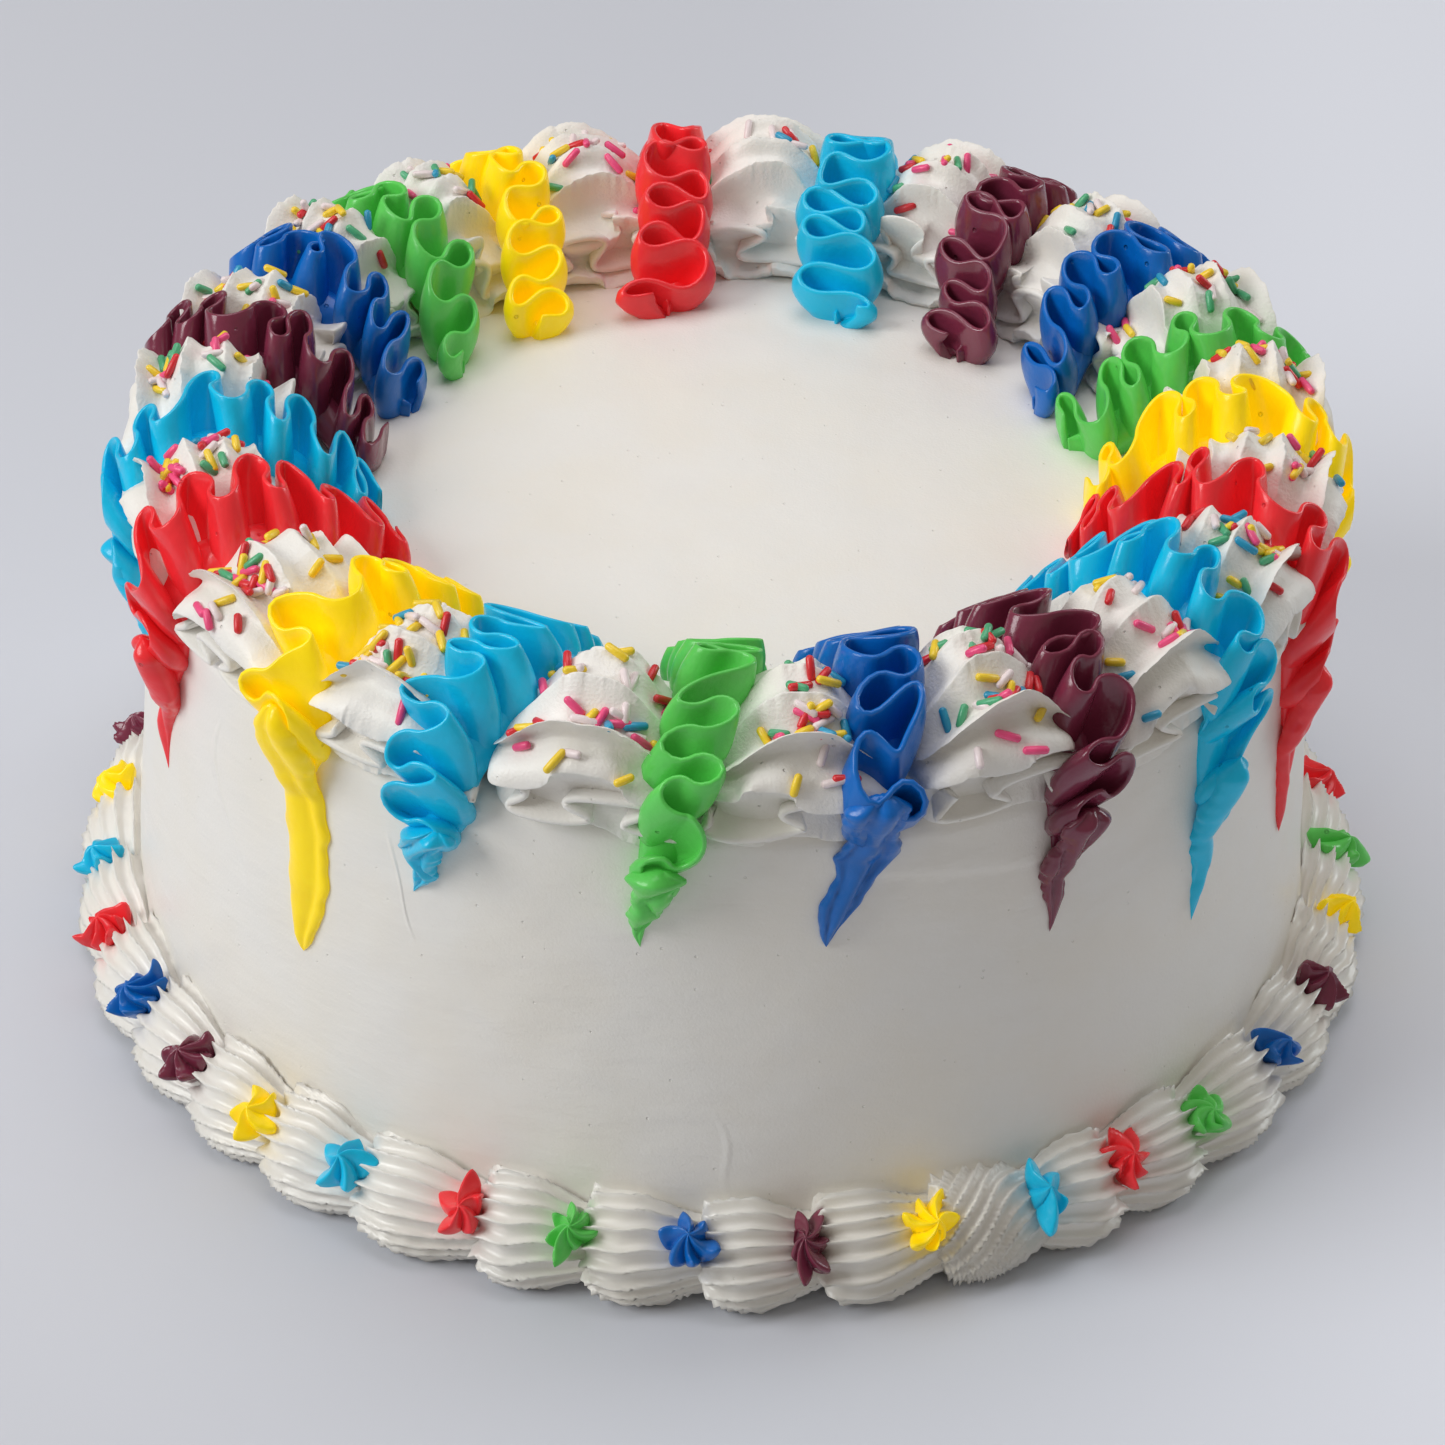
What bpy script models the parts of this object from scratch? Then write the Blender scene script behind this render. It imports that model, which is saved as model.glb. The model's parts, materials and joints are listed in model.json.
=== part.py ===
"""A round iced party cake: swirls and ruffled ribbons of icing on its rim, shells and stars at its foot.

Metres, +Z up. The origin is the centre of the underside. An azimuth is in degrees, from the
front (-Y) towards +X.
"""

import math
import random

import bmesh
import bpy
import numpy as np

# Clearance left between two pieces that touch
GAP = 0.0004
# Seed of the small differences between the stars, mounds and ribbons
SEED = 19

# Cake body, a slightly conical drum with a rounded top edge
BODY_HEIGHT = 0.1125
BODY_FOOT_RADIUS = 0.1390
BODY_TOP_RADIUS = 0.1300
BODY_EDGE_RADIUS = 0.0055
BODY_EDGE_STEPS = 3
BODY_SEGMENTS = 48

# Shell border round the foot, in section an oval cut by the body's side and by the ground
SHELL_DEPTH = 0.0128
SHELL_BELLY_HEIGHT = 0.0070
SHELL_CROWN = 0.0155
SHELL_TUCK = 0.0090
SHELL_RIDGES = 7
SHELL_FLUTE = 0.05
SHELL_SLANT = 9.0
# Place along one shell, from its tail to its head, and its size there
SHELL_STATIONS = ((0.06, 0.46), (0.26, 0.65), (0.60, 1.00), (0.93, 0.48))

# Drop stars on the joints between the shells
STAR_PITCH = 10.0
STAR_POINTS = 5
STAR_SEAT_RADIUS = 0.1449
STAR_SEAT_HEIGHT = 0.0111
STAR_TILT = 50.0
STAR_WIDTH = 0.0106
STAR_WIDTH_SPREAD = 0.12
STAR_TURN = 20.0
STAR_TIP_SHIFT = 0.0010
STAR_WAIST = 0.50
STAR_NECK = 0.42
STAR_RISE = 0.0030
STAR_TALL = 0.0066

# Swirl mounds between the ribbons
MOUND_RADIUS = 0.1165
MOUND_REACH = 0.0212
MOUND_HEIGHT = 0.0315
MOUND_SIDES = 12
MOUND_SQUARENESS = 2.6
MOUND_TWIST = 7.0
MOUND_FLUTE = 0.06
LIP_NARROWNESS = 8
# How far the mounds differ: least and most height, most turn either way, and place of the peak
MOUND_TALL = (0.94, 1.04)
MOUND_TURN = 8.5
MOUND_LEAN = (-0.002, 0.003)
# One row per level of a mound: share of the half width, share of the reach towards the middle of
# the cake, share of the reach outwards, share of the height, drop of the outer lip
MOUND_LEVELS = (
    (0.86, 0.86, 0.50, 0.000, 0.0000),
    (0.97, 0.95, 0.77, 0.060, 0.0056),
    (1.05, 1.00, 1.00, 0.140, 0.0020),
    (0.76, 0.86, 0.88, 0.270, 0.0000),
    (0.72, 0.88, 0.92, 0.440, 0.0000),
    (0.58, 0.70, 0.74, 0.540, 0.0000),
    (0.56, 0.68, 0.72, 0.710, 0.0000),
    (0.33, 0.42, 0.46, 0.870, 0.0000),
)

# Sugar sprinkles lying on the mounds
SPRINKLE_LENGTH = 0.0062
SPRINKLE_RADIUS = 0.00095
SPRINKLES_PER_MOUND = 2
SPRINKLE_SINK = 0.35
# Angles round a mound of its first sprinkle, the step to the next, and the turn on the surface
SPRINKLE_ANGLES = (50.0, 80.0)
SPRINKLE_STEP = 50.0
SPRINKLE_TURN = 28.0
# Levels of a mound over which its sprinkles lie
SPRINKLE_LEVELS = (4, 6)

# Ruffled ribbons. One row per station along a ribbon, from its inner end to the rim: radius and
# height over the cake's top of its foot line, then of its free edge, then the half width of the
# folds at the foot and at the free edge
RIBBON_ROWS = (
    (0.0800, 0.0000, 0.0790, 0.0075, 0.0040, 0.0086),
    (0.0895, 0.0000, 0.0870, 0.0150, 0.0036, 0.0082),
    (0.0975, 0.0060, 0.0955, 0.0225, 0.0028, 0.0076),
    (0.1050, 0.0097, 0.1050, 0.0280, 0.0022, 0.0071),
    (0.1165, 0.0100, 0.1165, 0.0300, 0.0020, 0.0068),
    (0.1265, 0.0068, 0.1290, 0.0250, 0.0016, 0.0064),
    (0.1322, 0.0000, 0.1405, 0.0120, 0.0013, 0.0058),
)
# Further down the side: share of the way from the rim to the tip, stand-off of the free edge and
# the two half widths
RIBBON_TAIL = (
    (0.25, 0.0085, 0.0016, 0.0052),
    (0.60, 0.0055, 0.0016, 0.0036),
    (1.00, 0.0020, 0.0003, 0.0006),
)
# Height of the foot line over the body's surface, so that the sheet's foot stays clear of it
RIBBON_SEAT = 0.0010
RIBBON_FOOT_THICKNESS = 0.0024
RIBBON_EDGE_THICKNESS = 0.0015
RIBBON_END_THINNESS = 0.55
RIBBON_FOLDS = 6
STATIONS_PER_FOLD = 4
POINTS_PER_SPAN = 12
# Radius inside which a ribbon turns to its inner end's azimuth, and the spacing in degrees that
# leaves room for the full width
SKEW_RADIUS = 0.1000
FULL_SPACING = 19.0

# Colour, azimuth at the crest, at the inner end and at the tip, and the tip's height
RIBBONS = (
    ("green", -2.4, -2.0, -7.3, 0.084),
    ("blue", 16.4, 16.0, 9.4, 0.086),
    ("purple", 34.5, 36.5, 30.7, 0.077),
    ("sky", 53.9, 55.8, 49.2, 0.061),
    ("red", 71.0, 73.0, 67.1, 0.059),
    ("yellow", 88.5, 86.5, 88.0, 0.070),
    ("green", 104.5, 104.9, 103.0, 0.075),
    ("blue", 124.5, 119.0, 127.0, 0.078),
    ("purple", 144.1, 138.5, 147.0, 0.074),
    ("sky", 165.4, 162.4, 168.0, 0.080),
    ("red", 188.1, 191.6, 186.0, 0.072),
    ("yellow", 210.0, 215.6, 208.0, 0.078),
    ("green", 226.4, 232.5, 225.0, 0.075),
    ("blue", 241.5, 249.0, 240.0, 0.070),
    ("purple", 258.5, 263.7, 258.0, 0.074),
    ("sky", 276.8, 280.5, 283.3, 0.082),
    ("red", 297.3, 294.5, 292.9, 0.069),
    ("yellow", 319.1, 317.6, 318.7, 0.057),
    ("sky", 337.6, 335.0, 331.7, 0.085),
)

# Colour and azimuth of each star from the front round to the back, as far as the front shows them
FRONT_STARS = (
    ("purple", -103.2),
    ("yellow", -94.3),
    ("sky", -83.3),
    ("red", -72.5),
    ("blue", -62.3),
    ("purple", -51.8),
    ("yellow", -42.5),
    ("sky", -32.3),
    ("red", -20.9),
    ("green", -11.5),
    ("blue", -1.8),
    ("purple", 7.8),
    ("yellow", 18.1),
    ("sky", 28.9),
    ("red", 37.1),
    ("green", 47.0),
    ("blue", 58.2),
    ("purple", 68.5),
    ("yellow", 80.0),
    ("green", 89.2),
    ("red", 99.6),
)
BACK_STAR_COLOURS = ("blue", "purple", "yellow", "sky", "red", "green")

# Base colour and roughness of each icing
ICINGS = {
    "cake icing": ((0.86, 0.84, 0.80), 0.45),
    "border icing": ((0.88, 0.87, 0.83), 0.38),
    "swirl icing": ((0.88, 0.87, 0.84), 0.45),
    "red": ((0.70, 0.03, 0.04), 0.32),
    "yellow": ((0.87, 0.60, 0.01), 0.35),
    "green": ((0.08, 0.45, 0.08), 0.34),
    "sky": ((0.01, 0.38, 0.66), 0.33),
    "blue": ((0.01, 0.09, 0.40), 0.30),
    "purple": ((0.11, 0.02, 0.04), 0.26),
}


def clear_scene():
    for thing in list(bpy.data.objects):
        bpy.data.objects.remove(thing, do_unlink=True)


def icing(name):
    """The Principled material of one icing, made the first time it is asked for."""
    known = bpy.data.materials.get(name)
    if known:
        return known
    colour, roughness = ICINGS[name]
    material = bpy.data.materials.new(name)
    material.use_nodes = True
    shader = material.node_tree.nodes["Principled BSDF"]
    shader.inputs["Base Color"].default_value = (*colour, 1.0)
    shader.inputs["Roughness"].default_value = roughness
    shader.inputs["Metallic"].default_value = 0.0
    return material


def new_collection(name):
    collection = bpy.data.collections.new(name)
    bpy.context.scene.collection.children.link(collection)
    return collection


def add_object(name, mesh, collection, material):
    made = bpy.data.objects.new(name, mesh)
    mesh.materials.append(icing(material))
    collection.objects.link(made)
    return made


def side_radius(height):
    """Radius of the body's side at a height over the underside."""
    share = height / BODY_HEIGHT
    return BODY_FOOT_RADIUS + (BODY_TOP_RADIUS - BODY_FOOT_RADIUS) * share


def around(azimuth, radius, height):
    """The point at this azimuth, radius and height."""
    turn = math.radians(azimuth)
    return np.array([radius * math.sin(turn), -radius * math.cos(turn), height])


def loft(name, sections, collection, material, ring=False):
    """One closed body through sections of points, each a loop; a last loop of one point is a tip."""
    work = bmesh.new()
    loops = [[work.verts.new(point) for point in section] for section in sections]
    pairs = list(zip(loops, loops[1:]))
    if ring:
        pairs.append((loops[-1], loops[0]))
    else:
        work.faces.new(loops[0])
    for near, far in pairs:
        for i in range(len(near)):
            j = (i + 1) % len(near)
            if len(far) == 1:
                work.faces.new((near[j], near[i], far[0]))
            else:
                work.faces.new((near[j], near[i], far[i], far[j]))
    if not ring and len(loops[-1]) > 1:
        work.faces.new(loops[-1][::-1])
    work.normal_update()
    bmesh.ops.recalc_face_normals(work, faces=work.faces)
    mesh = bpy.data.meshes.new(name)
    work.to_mesh(mesh)
    work.free()
    return add_object(name, mesh, collection, material)


def cake_body(collection):
    """The drum, a profile turned by a Screw modifier."""
    profile = [(0.0, BODY_HEIGHT)]
    edge_height = BODY_HEIGHT - BODY_EDGE_RADIUS
    edge_centre = side_radius(edge_height) - BODY_EDGE_RADIUS
    for step in range(BODY_EDGE_STEPS + 1):
        turn = 0.5 * math.pi * step / BODY_EDGE_STEPS
        across = edge_centre + BODY_EDGE_RADIUS * math.sin(turn)
        profile.append((across, edge_height + BODY_EDGE_RADIUS * math.cos(turn)))
    profile.append((BODY_FOOT_RADIUS, 0.0))
    profile.append((0.0, 0.0))
    mesh = bpy.data.meshes.new("cake_body")
    points = [(across, 0.0, up) for across, up in profile]
    mesh.from_pydata(points, [(i, i + 1) for i in range(len(points) - 1)], [])
    body = add_object("cake_body", mesh, collection, "cake icing")
    turned = body.modifiers.new("turned", "SCREW")
    turned.steps = BODY_SEGMENTS
    turned.render_steps = BODY_SEGMENTS
    turned.use_merge_vertices = True
    turned.merge_threshold = 0.0001
    turned.use_smooth_shade = True


def star_places():
    """Colour and azimuth of every star: those of the front, then an even spread round the back."""
    places = list(FRONT_STARS)
    last = FRONT_STARS[-1][1]
    first = FRONT_STARS[0][1] + 360.0
    count = round((first - last) / STAR_PITCH) - 1
    for k in range(count):
        azimuth = last + (first - last) * (k + 1) / (count + 1)
        places.append((BACK_STAR_COLOURS[k % len(BACK_STAR_COLOURS)], azimuth))
    return places


def base_border(collection, joints):
    """The ring of shells: between two joints the section grows from a tail to a fluted head."""
    corner = BODY_FOOT_RADIUS + GAP
    lowest = -math.degrees(math.asin(SHELL_BELLY_HEIGHT / SHELL_TUCK))
    sections = []
    ends = joints[1:] + [joints[0] + 360.0]
    for start, end in zip(joints, ends):
        for place, size in SHELL_STATIONS:
            azimuth = start + (end - start) * place
            points = [around(azimuth, corner, 0.0)]
            for ridge in range(SHELL_RIDGES):
                inner = 0 < ridge < SHELL_RIDGES - 1
                climb = lowest + (90.0 - lowest) * ridge / (SHELL_RIDGES - 1)
                turn = math.radians(climb + inner * SHELL_SLANT * (place - 0.5))
                flute = 1.0 + inner * SHELL_FLUTE * (-1 if ridge % 2 else 1)
                tall = SHELL_CROWN if turn > 0.0 else SHELL_TUCK
                height = size * flute * (SHELL_BELLY_HEIGHT + tall * math.sin(turn))
                out = corner + size * flute * SHELL_DEPTH * math.cos(turn)
                clear = side_radius(height) + GAP
                points.append(around(azimuth, max(out, clear), max(height, 0.0)))
            sections.append(points)
    return loft("base_border", sections, collection, "border icing", ring=True)


def star(name, colour, azimuth, collection, rng):
    """A drop star: a narrow neck, a wide pleated ring and a pointed tip, tilted out and up."""
    out = around(azimuth, 1.0, 0.0)
    along = np.array([-out[1], out[0], 0.0])
    tilt = math.radians(STAR_TILT)
    axis = math.cos(tilt) * out + math.sin(tilt) * np.array([0.0, 0.0, 1.0])
    across = np.cross(axis, along)
    seat = around(azimuth, STAR_SEAT_RADIUS, STAR_SEAT_HEIGHT)
    phase = rng.uniform(0.0, math.tau)
    stretch = [1.0 + rng.uniform(-1.0, 1.0) * STAR_WIDTH_SPREAD for _ in range(STAR_POINTS)]

    def loop(scale, rise, twist):
        points = []
        for i in range(2 * STAR_POINTS):
            turn = phase + twist + math.pi * i / STAR_POINTS
            reach = 0.5 * STAR_WIDTH * scale
            reach *= STAR_WAIST if i % 2 else stretch[i // 2]
            flat = reach * (math.cos(turn) * along + math.sin(turn) * across)
            points.append(seat + flat + rise * axis)
        return points

    tip = [seat + STAR_TALL * axis + rng.uniform(-1.0, 1.0) * STAR_TIP_SHIFT * along]
    sections = [loop(STAR_NECK, 0.0, 0.0), loop(1.0, STAR_RISE, math.radians(STAR_TURN)), tip]
    return loft(name, sections, collection, colour)


def ribbon_rows(tip_height):
    """Foot line and free edge of a ribbon as rows of radius and height, with the half widths."""
    rows = []
    for foot, foot_up, edge, edge_up, foot_wide, edge_wide in RIBBON_ROWS:
        foot_height = BODY_HEIGHT + RIBBON_SEAT + foot_up
        rows.append((foot, foot_height, edge, BODY_HEIGHT + edge_up, foot_wide, edge_wide))
    rim_height = rows[-1][1]
    edge_height = rows[-1][3]
    for share, stand_off, foot_wide, edge_wide in RIBBON_TAIL:
        height = rim_height + (tip_height - rim_height) * share
        free = edge_height + (tip_height - edge_height) * share
        foot = side_radius(height) + RIBBON_SEAT
        edge = side_radius(free) + RIBBON_SEAT + stand_off
        rows.append((foot, height, edge, free, foot_wide, edge_wide))
    return np.array(rows)


def smooth_rows(rows, count):
    """The rows read at equal steps of the free edge's length, on a Catmull-Rom curve through them."""
    padded = np.vstack([2 * rows[0] - rows[1], rows, 2 * rows[-1] - rows[-2]])
    fine = []
    for before, start, end, after in zip(padded, padded[1:], padded[2:], padded[3:]):
        for t in np.linspace(0.0, 1.0, POINTS_PER_SPAN, endpoint=False):
            slope = end - before + (2 * before - 5 * start + 4 * end - after) * t
            slope = slope + (3 * start - before - 3 * end + after) * t * t
            fine.append(start + 0.5 * t * slope)
    fine.append(rows[-1])
    fine = np.array(fine)
    steps = np.hypot(*np.diff(fine[:, 2:4], axis=0).T)
    length = np.concatenate([[0.0], np.cumsum(steps)])
    places = np.linspace(0.0, length[-1], count)
    return np.stack([np.interp(places, length, column) for column in fine.T], axis=1)


def blend(share):
    """A smooth step from 0 to 1."""
    share = min(max(share, 0.0), 1.0)
    return share * share * (3.0 - 2.0 * share)


def ribbon(name, spec, room, collection, rng):
    """A standing sheet of icing that meanders from the cake's top over the rim and down the side."""
    colour, crest, inner, tip, tip_height = spec
    count = RIBBON_FOLDS * STATIONS_PER_FOLD + 1
    rows = smooth_rows(ribbon_rows(tip_height), count)
    side = rng.choice((-1, 1))
    wide = min(1.0, room / FULL_SPACING)
    feet = []
    edges = []
    for step, (foot, foot_up, edge, edge_up, foot_wide, edge_wide) in enumerate(rows):
        inward = blend((SKEW_RADIUS - foot) / (SKEW_RADIUS - rows[0][0]))
        down = blend((BODY_HEIGHT - foot_up) / (BODY_HEIGHT - tip_height))
        azimuth = crest + (inner - crest) * inward + (tip - crest) * down
        swing = side * math.cos(math.tau * step / STATIONS_PER_FOLD)
        along = around(azimuth + 90.0, 1.0, 0.0)
        feet.append(around(azimuth, foot, foot_up) + wide * foot_wide * swing * along)
        edges.append(around(azimuth, edge, edge_up) + wide * edge_wide * swing * along)
    feet = np.array(feet)
    edges = np.array(edges)
    rise = edges - feet

    def across(line):
        """Unit vectors square to the line and to the sheet's rise."""
        square = np.cross(np.gradient(line, axis=0), rise)
        return square / np.linalg.norm(square, axis=1, keepdims=True)

    taper = np.linspace(1.0, RIBBON_END_THINNESS, count)[:, None]
    foot_half = 0.5 * RIBBON_FOOT_THICKNESS * taper * across(feet)
    edge_half = 0.5 * RIBBON_EDGE_THICKNESS * taper * across(edges)
    corners = (feet - foot_half, feet + foot_half, edges + edge_half, edges - edge_half)
    sections = np.stack(corners, axis=1)
    return loft(name, sections, collection, colour)


def mound_point(mound, level, angle, scale=1.0):
    """A point of a mound's level, at an angle round it from the cake's tangent towards outwards."""
    width, inwards, outwards, height, drop = level
    squareness = 2.0 / MOUND_SQUARENESS
    sideways = math.copysign(abs(math.cos(angle)) ** squareness, math.cos(angle))
    away = math.copysign(abs(math.sin(angle)) ** squareness, math.sin(angle))
    reach = outwards if away > 0.0 else inwards
    azimuth = mound["azimuth"] + mound["half_width"] * width * scale * sideways
    radius = MOUND_RADIUS + MOUND_REACH * reach * scale * away
    rise = MOUND_HEIGHT * height * mound["tall"] - drop * max(away, 0.0) ** LIP_NARROWNESS
    return around(azimuth, radius, BODY_HEIGHT + GAP + rise)


def mound_sections(mound):
    """The levels of a mound from its underside to its tip, fluted and turned a little each."""
    sections = []
    for number, level in enumerate(MOUND_LEVELS):
        fluted = min(number / 2.0, 1.0) * MOUND_FLUTE
        turned = math.radians(MOUND_TWIST) * max(number - 2, 0) + mound["phase"] * (number > 2)
        points = []
        for i in range(MOUND_SIDES):
            angle = math.tau * i / MOUND_SIDES + turned
            points.append(mound_point(mound, level, angle, 1.0 - fluted * (i % 2)))
        sections.append(points)
    peak = around(mound["azimuth"], MOUND_RADIUS + mound["lean"], 0.0)
    peak[2] = BODY_HEIGHT + GAP + MOUND_HEIGHT * mound["tall"]
    sections.append([peak])
    return sections


def sprinkle(mound, place, collection):
    """A sugar strand with round ends, half sunk in the mound's upper slope."""
    angle, level, turn = place
    low = mound_point(mound, MOUND_LEVELS[level], angle)
    high = mound_point(mound, MOUND_LEVELS[level + 1], angle)
    beside = mound_point(mound, MOUND_LEVELS[level], angle + 0.1)
    along = (beside - low) / np.linalg.norm(beside - low)
    upward = (high - low) / np.linalg.norm(high - low)
    outward = np.cross(along, upward)
    outward /= np.linalg.norm(outward)
    axis = math.cos(turn) * along + math.sin(turn) * upward
    work = bmesh.new()
    bmesh.ops.create_uvsphere(work, u_segments=6, v_segments=3, radius=SPRINKLE_RADIUS)
    side = np.cross(axis, outward)
    centre = 0.5 * (low + high) + SPRINKLE_SINK * SPRINKLE_RADIUS * outward
    straight = 0.5 * SPRINKLE_LENGTH - SPRINKLE_RADIUS
    for vert in work.verts:
        x, y, z = vert.co
        shift = z + math.copysign(straight, z)
        vert.co = centre + x * outward + y * side + shift * axis
    mesh = bpy.data.meshes.new("sprinkle")
    work.to_mesh(mesh)
    work.free()
    return add_object("sprinkle", mesh, collection, "swirl icing")


def top_border(collection, rng):
    """The ring of swirl mounds with sprinkles, joined by one union."""
    parts = new_collection("top border parts")
    crests = [spec[1] for spec in RIBBONS]
    for number, (left, right) in enumerate(zip(crests, crests[1:] + [crests[0] + 360.0])):
        mound = {
            "azimuth": 0.5 * (left + right),
            "half_width": 0.5 * (right - left),
            "tall": rng.uniform(*MOUND_TALL),
            "phase": math.radians(rng.uniform(-MOUND_TURN, MOUND_TURN)),
            "lean": rng.uniform(*MOUND_LEAN),
        }
        loft(f"mound {number}", mound_sections(mound), parts, "swirl icing")
        for k in range(SPRINKLES_PER_MOUND):
            angle = math.radians(rng.uniform(*SPRINKLE_ANGLES) + SPRINKLE_STEP * k)
            turn = math.radians(rng.uniform(-SPRINKLE_TURN, SPRINKLE_TURN))
            place = (angle, rng.choice(SPRINKLE_LEVELS), turn)
            sprinkle(mound, place, parts)
    members = list(parts.objects)
    ring = members[0]
    parts.objects.unlink(ring)
    collection.objects.link(ring)
    ring.name = "top_border"
    joined = ring.modifiers.new("joined", "BOOLEAN")
    joined.operation = "UNION"
    joined.operand_type = "COLLECTION"
    joined.collection = parts
    joined.solver = "EXACT"
    bpy.context.view_layer.update()
    graph = bpy.context.evaluated_depsgraph_get()
    mesh = bpy.data.meshes.new_from_object(ring.evaluated_get(graph))
    ring.modifiers.clear()
    ring.data = mesh
    for member in members[1:]:
        bpy.data.objects.remove(member, do_unlink=True)
    bpy.data.collections.remove(parts)


def main():
    clear_scene()
    rng = random.Random(SEED)
    cake = new_collection("cake")
    cake_body(cake)
    places = star_places()
    base_border(cake, [azimuth for _, azimuth in places])
    for number, (colour, azimuth) in enumerate(places, 1):
        star(f"star_{number:02d}", colour, azimuth, cake, rng)
    top_border(cake, rng)
    crests = [spec[1] for spec in RIBBONS]
    before = [crests[-1] - 360.0] + crests[:-1]
    after = crests[1:] + [crests[0] + 360.0]
    for number, spec in enumerate(RIBBONS, 1):
        room = min(after[number - 1] - spec[1], spec[1] - before[number - 1])
        ribbon(f"ribbon_{number:02d}", spec, room, cake, rng)


main()
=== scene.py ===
"""The looks of an iced party cake: swirls, ruffled ribbons and sprinkles on its rim, shells and stars
at its foot.

The file is laid out as a Blender add-on and run as a script. Metres, +Z up, origin at the centre of
the underside. An azimuth is in degrees, from the front (-Y) towards +X.
"""

import json
import math

import bpy
import numpy as np
from mathutils import Matrix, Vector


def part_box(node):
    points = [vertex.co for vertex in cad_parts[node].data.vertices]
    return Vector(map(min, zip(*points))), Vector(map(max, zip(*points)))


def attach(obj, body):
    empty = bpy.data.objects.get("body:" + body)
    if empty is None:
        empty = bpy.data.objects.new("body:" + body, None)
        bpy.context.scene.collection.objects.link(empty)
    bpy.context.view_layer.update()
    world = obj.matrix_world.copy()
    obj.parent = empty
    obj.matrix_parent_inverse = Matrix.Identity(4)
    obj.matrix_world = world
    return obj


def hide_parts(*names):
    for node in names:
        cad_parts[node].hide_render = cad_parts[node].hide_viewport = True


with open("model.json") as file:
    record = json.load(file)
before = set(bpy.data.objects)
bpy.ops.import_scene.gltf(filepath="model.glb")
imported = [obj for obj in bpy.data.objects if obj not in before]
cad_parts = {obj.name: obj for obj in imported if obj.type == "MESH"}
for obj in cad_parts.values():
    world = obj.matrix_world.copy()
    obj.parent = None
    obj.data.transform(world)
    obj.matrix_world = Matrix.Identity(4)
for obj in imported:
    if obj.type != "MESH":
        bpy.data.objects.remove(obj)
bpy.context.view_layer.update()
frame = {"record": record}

bl_info = {
    "name": "Iced party cake",
    "version": (1, 0, 0),
    "blender": (4, 5, 0),
    "location": "3D View > Sidebar > Cake",
    "description": "Pipes the icing, ribbons, stars and sprinkles of a party cake round its solids",
    "category": "Object",
}

MM = 0.001
TAU = math.tau

# The cake's drum: its solid's corners, height and foot radius, then its radius at the top and that of
# its rounded edge
BODY_LOW, BODY_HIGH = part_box("cake_body")
TOP = BODY_HIGH.z
FOOT_RADIUS = BODY_HIGH.x
TOP_RADIUS = 0.1300
EDGE_RADIUS = 0.0055

# Material slot of every node
SLOTS = {row["node"]: row["material_slot"] for row in frame["record"]["subparts"]}

# Step in the smooth icing: height at its middle azimuth, fall to the right for every degree, azimuths
# where it fades in and out, and its rise
SEAM_HEIGHT = 0.1015
SEAM_MIDDLE = 10.0
SEAM_FALL = 0.00032
SEAM_ENDS = (6.0, 14.0, 30.0, 40.0)
SEAM_RISE = 0.0006

# Shells round the foot: their belly's height, half axes outwards, up and down, the flutes round a
# whole section, their length as a share of the spacing, the share of it that the round head takes, the
# azimuth where both rows meet, and the head's shift, in degrees
SHELL_CENTRE = 0.0075
SHELL_DEPTH = 0.0120
SHELL_CROWN = 0.0152
SHELL_TUCK = 0.0095
SHELL_FLUTES = 21
SHELL_REACH = 1.30
SHELL_HEAD = 0.07
SHELL_JOIN = 23.0
SHELL_SHIFT = 0.7
# How much a shell narrows to its tail and to its head, the depth of a flute for its ridge, the
# ridges' twist in radians, the same where the rows meet, how far the belly steps back at the head,
# as a share of the length, and how far the ridges stand out there, in degrees
TAIL_TAPER = 0.50
HEAD_TAPER = 0.15
FLUTE_SHARE = 1.75
SHELL_TWIST = 0.25
JOIN_TWIST = 1.5
SHELL_RAKE = 0.17
SHELL_LIP = 0.6

# Stars over the joints between the shells: how far they lean back from facing outwards, in degrees,
# their length for their width, how far they stand over their solids and in towards the wall, their
# radius and their height
STAR_TILT = 57.0
STAR_STRETCH = 1.30
STAR_LIFT = 0.0024
STAR_SINK = 0.0010
STAR_RADIUS = 0.0052
STAR_HEIGHT = 0.0068
# Their fewest and most petals, how unequal these are, how far their ends curl up, the hollow of the
# creases, how far the petals wind, in radians, and the profile: row, share of the radius, of the height
STAR_PETALS = (5, 7)
PETAL_SPREAD = (-0.34, 0.26)
PETAL_CURL = (-0.0008, 0.0030)
STAR_CREASE = 0.0026
STAR_WIND = (0.4, 1.2)
STAR_PROFILE = (
    (0.00, 0.45, -0.40),
    (0.12, 0.78, 0.00),
    (0.26, 1.00, 0.20),
    (0.40, 1.03, 0.42),
    (0.62, 0.70, 0.72),
    (0.84, 0.30, 0.96),
    (1.00, 0.03, 1.00),
)

# Swirls between the ribbons: radius of their middle line, height in millimetres that their ends are
# drawn in to, share of the room between two ribbons that they fill, and how much they fall towards
# the ribbons at the foot and more for every millimetre of height up to the last
SWIRL_RADIUS = 0.1165
SWIRL_SPINE = 8.0
SWIRL_SPREAD = 0.95
SWIRL_FALL = (0.16, 0.014, 30.0)
# How far the swirls are drawn in at their ends, the power of that close, the fine waver of their
# edges and how far these are torn, in millimetres
SWIRL_NARROWING = 0.14
SWIRL_CLOSE = 12
SWIRL_FINE = (0.20, 0.10)
SWIRL_TORN = (-0.5, 0.8)
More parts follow.
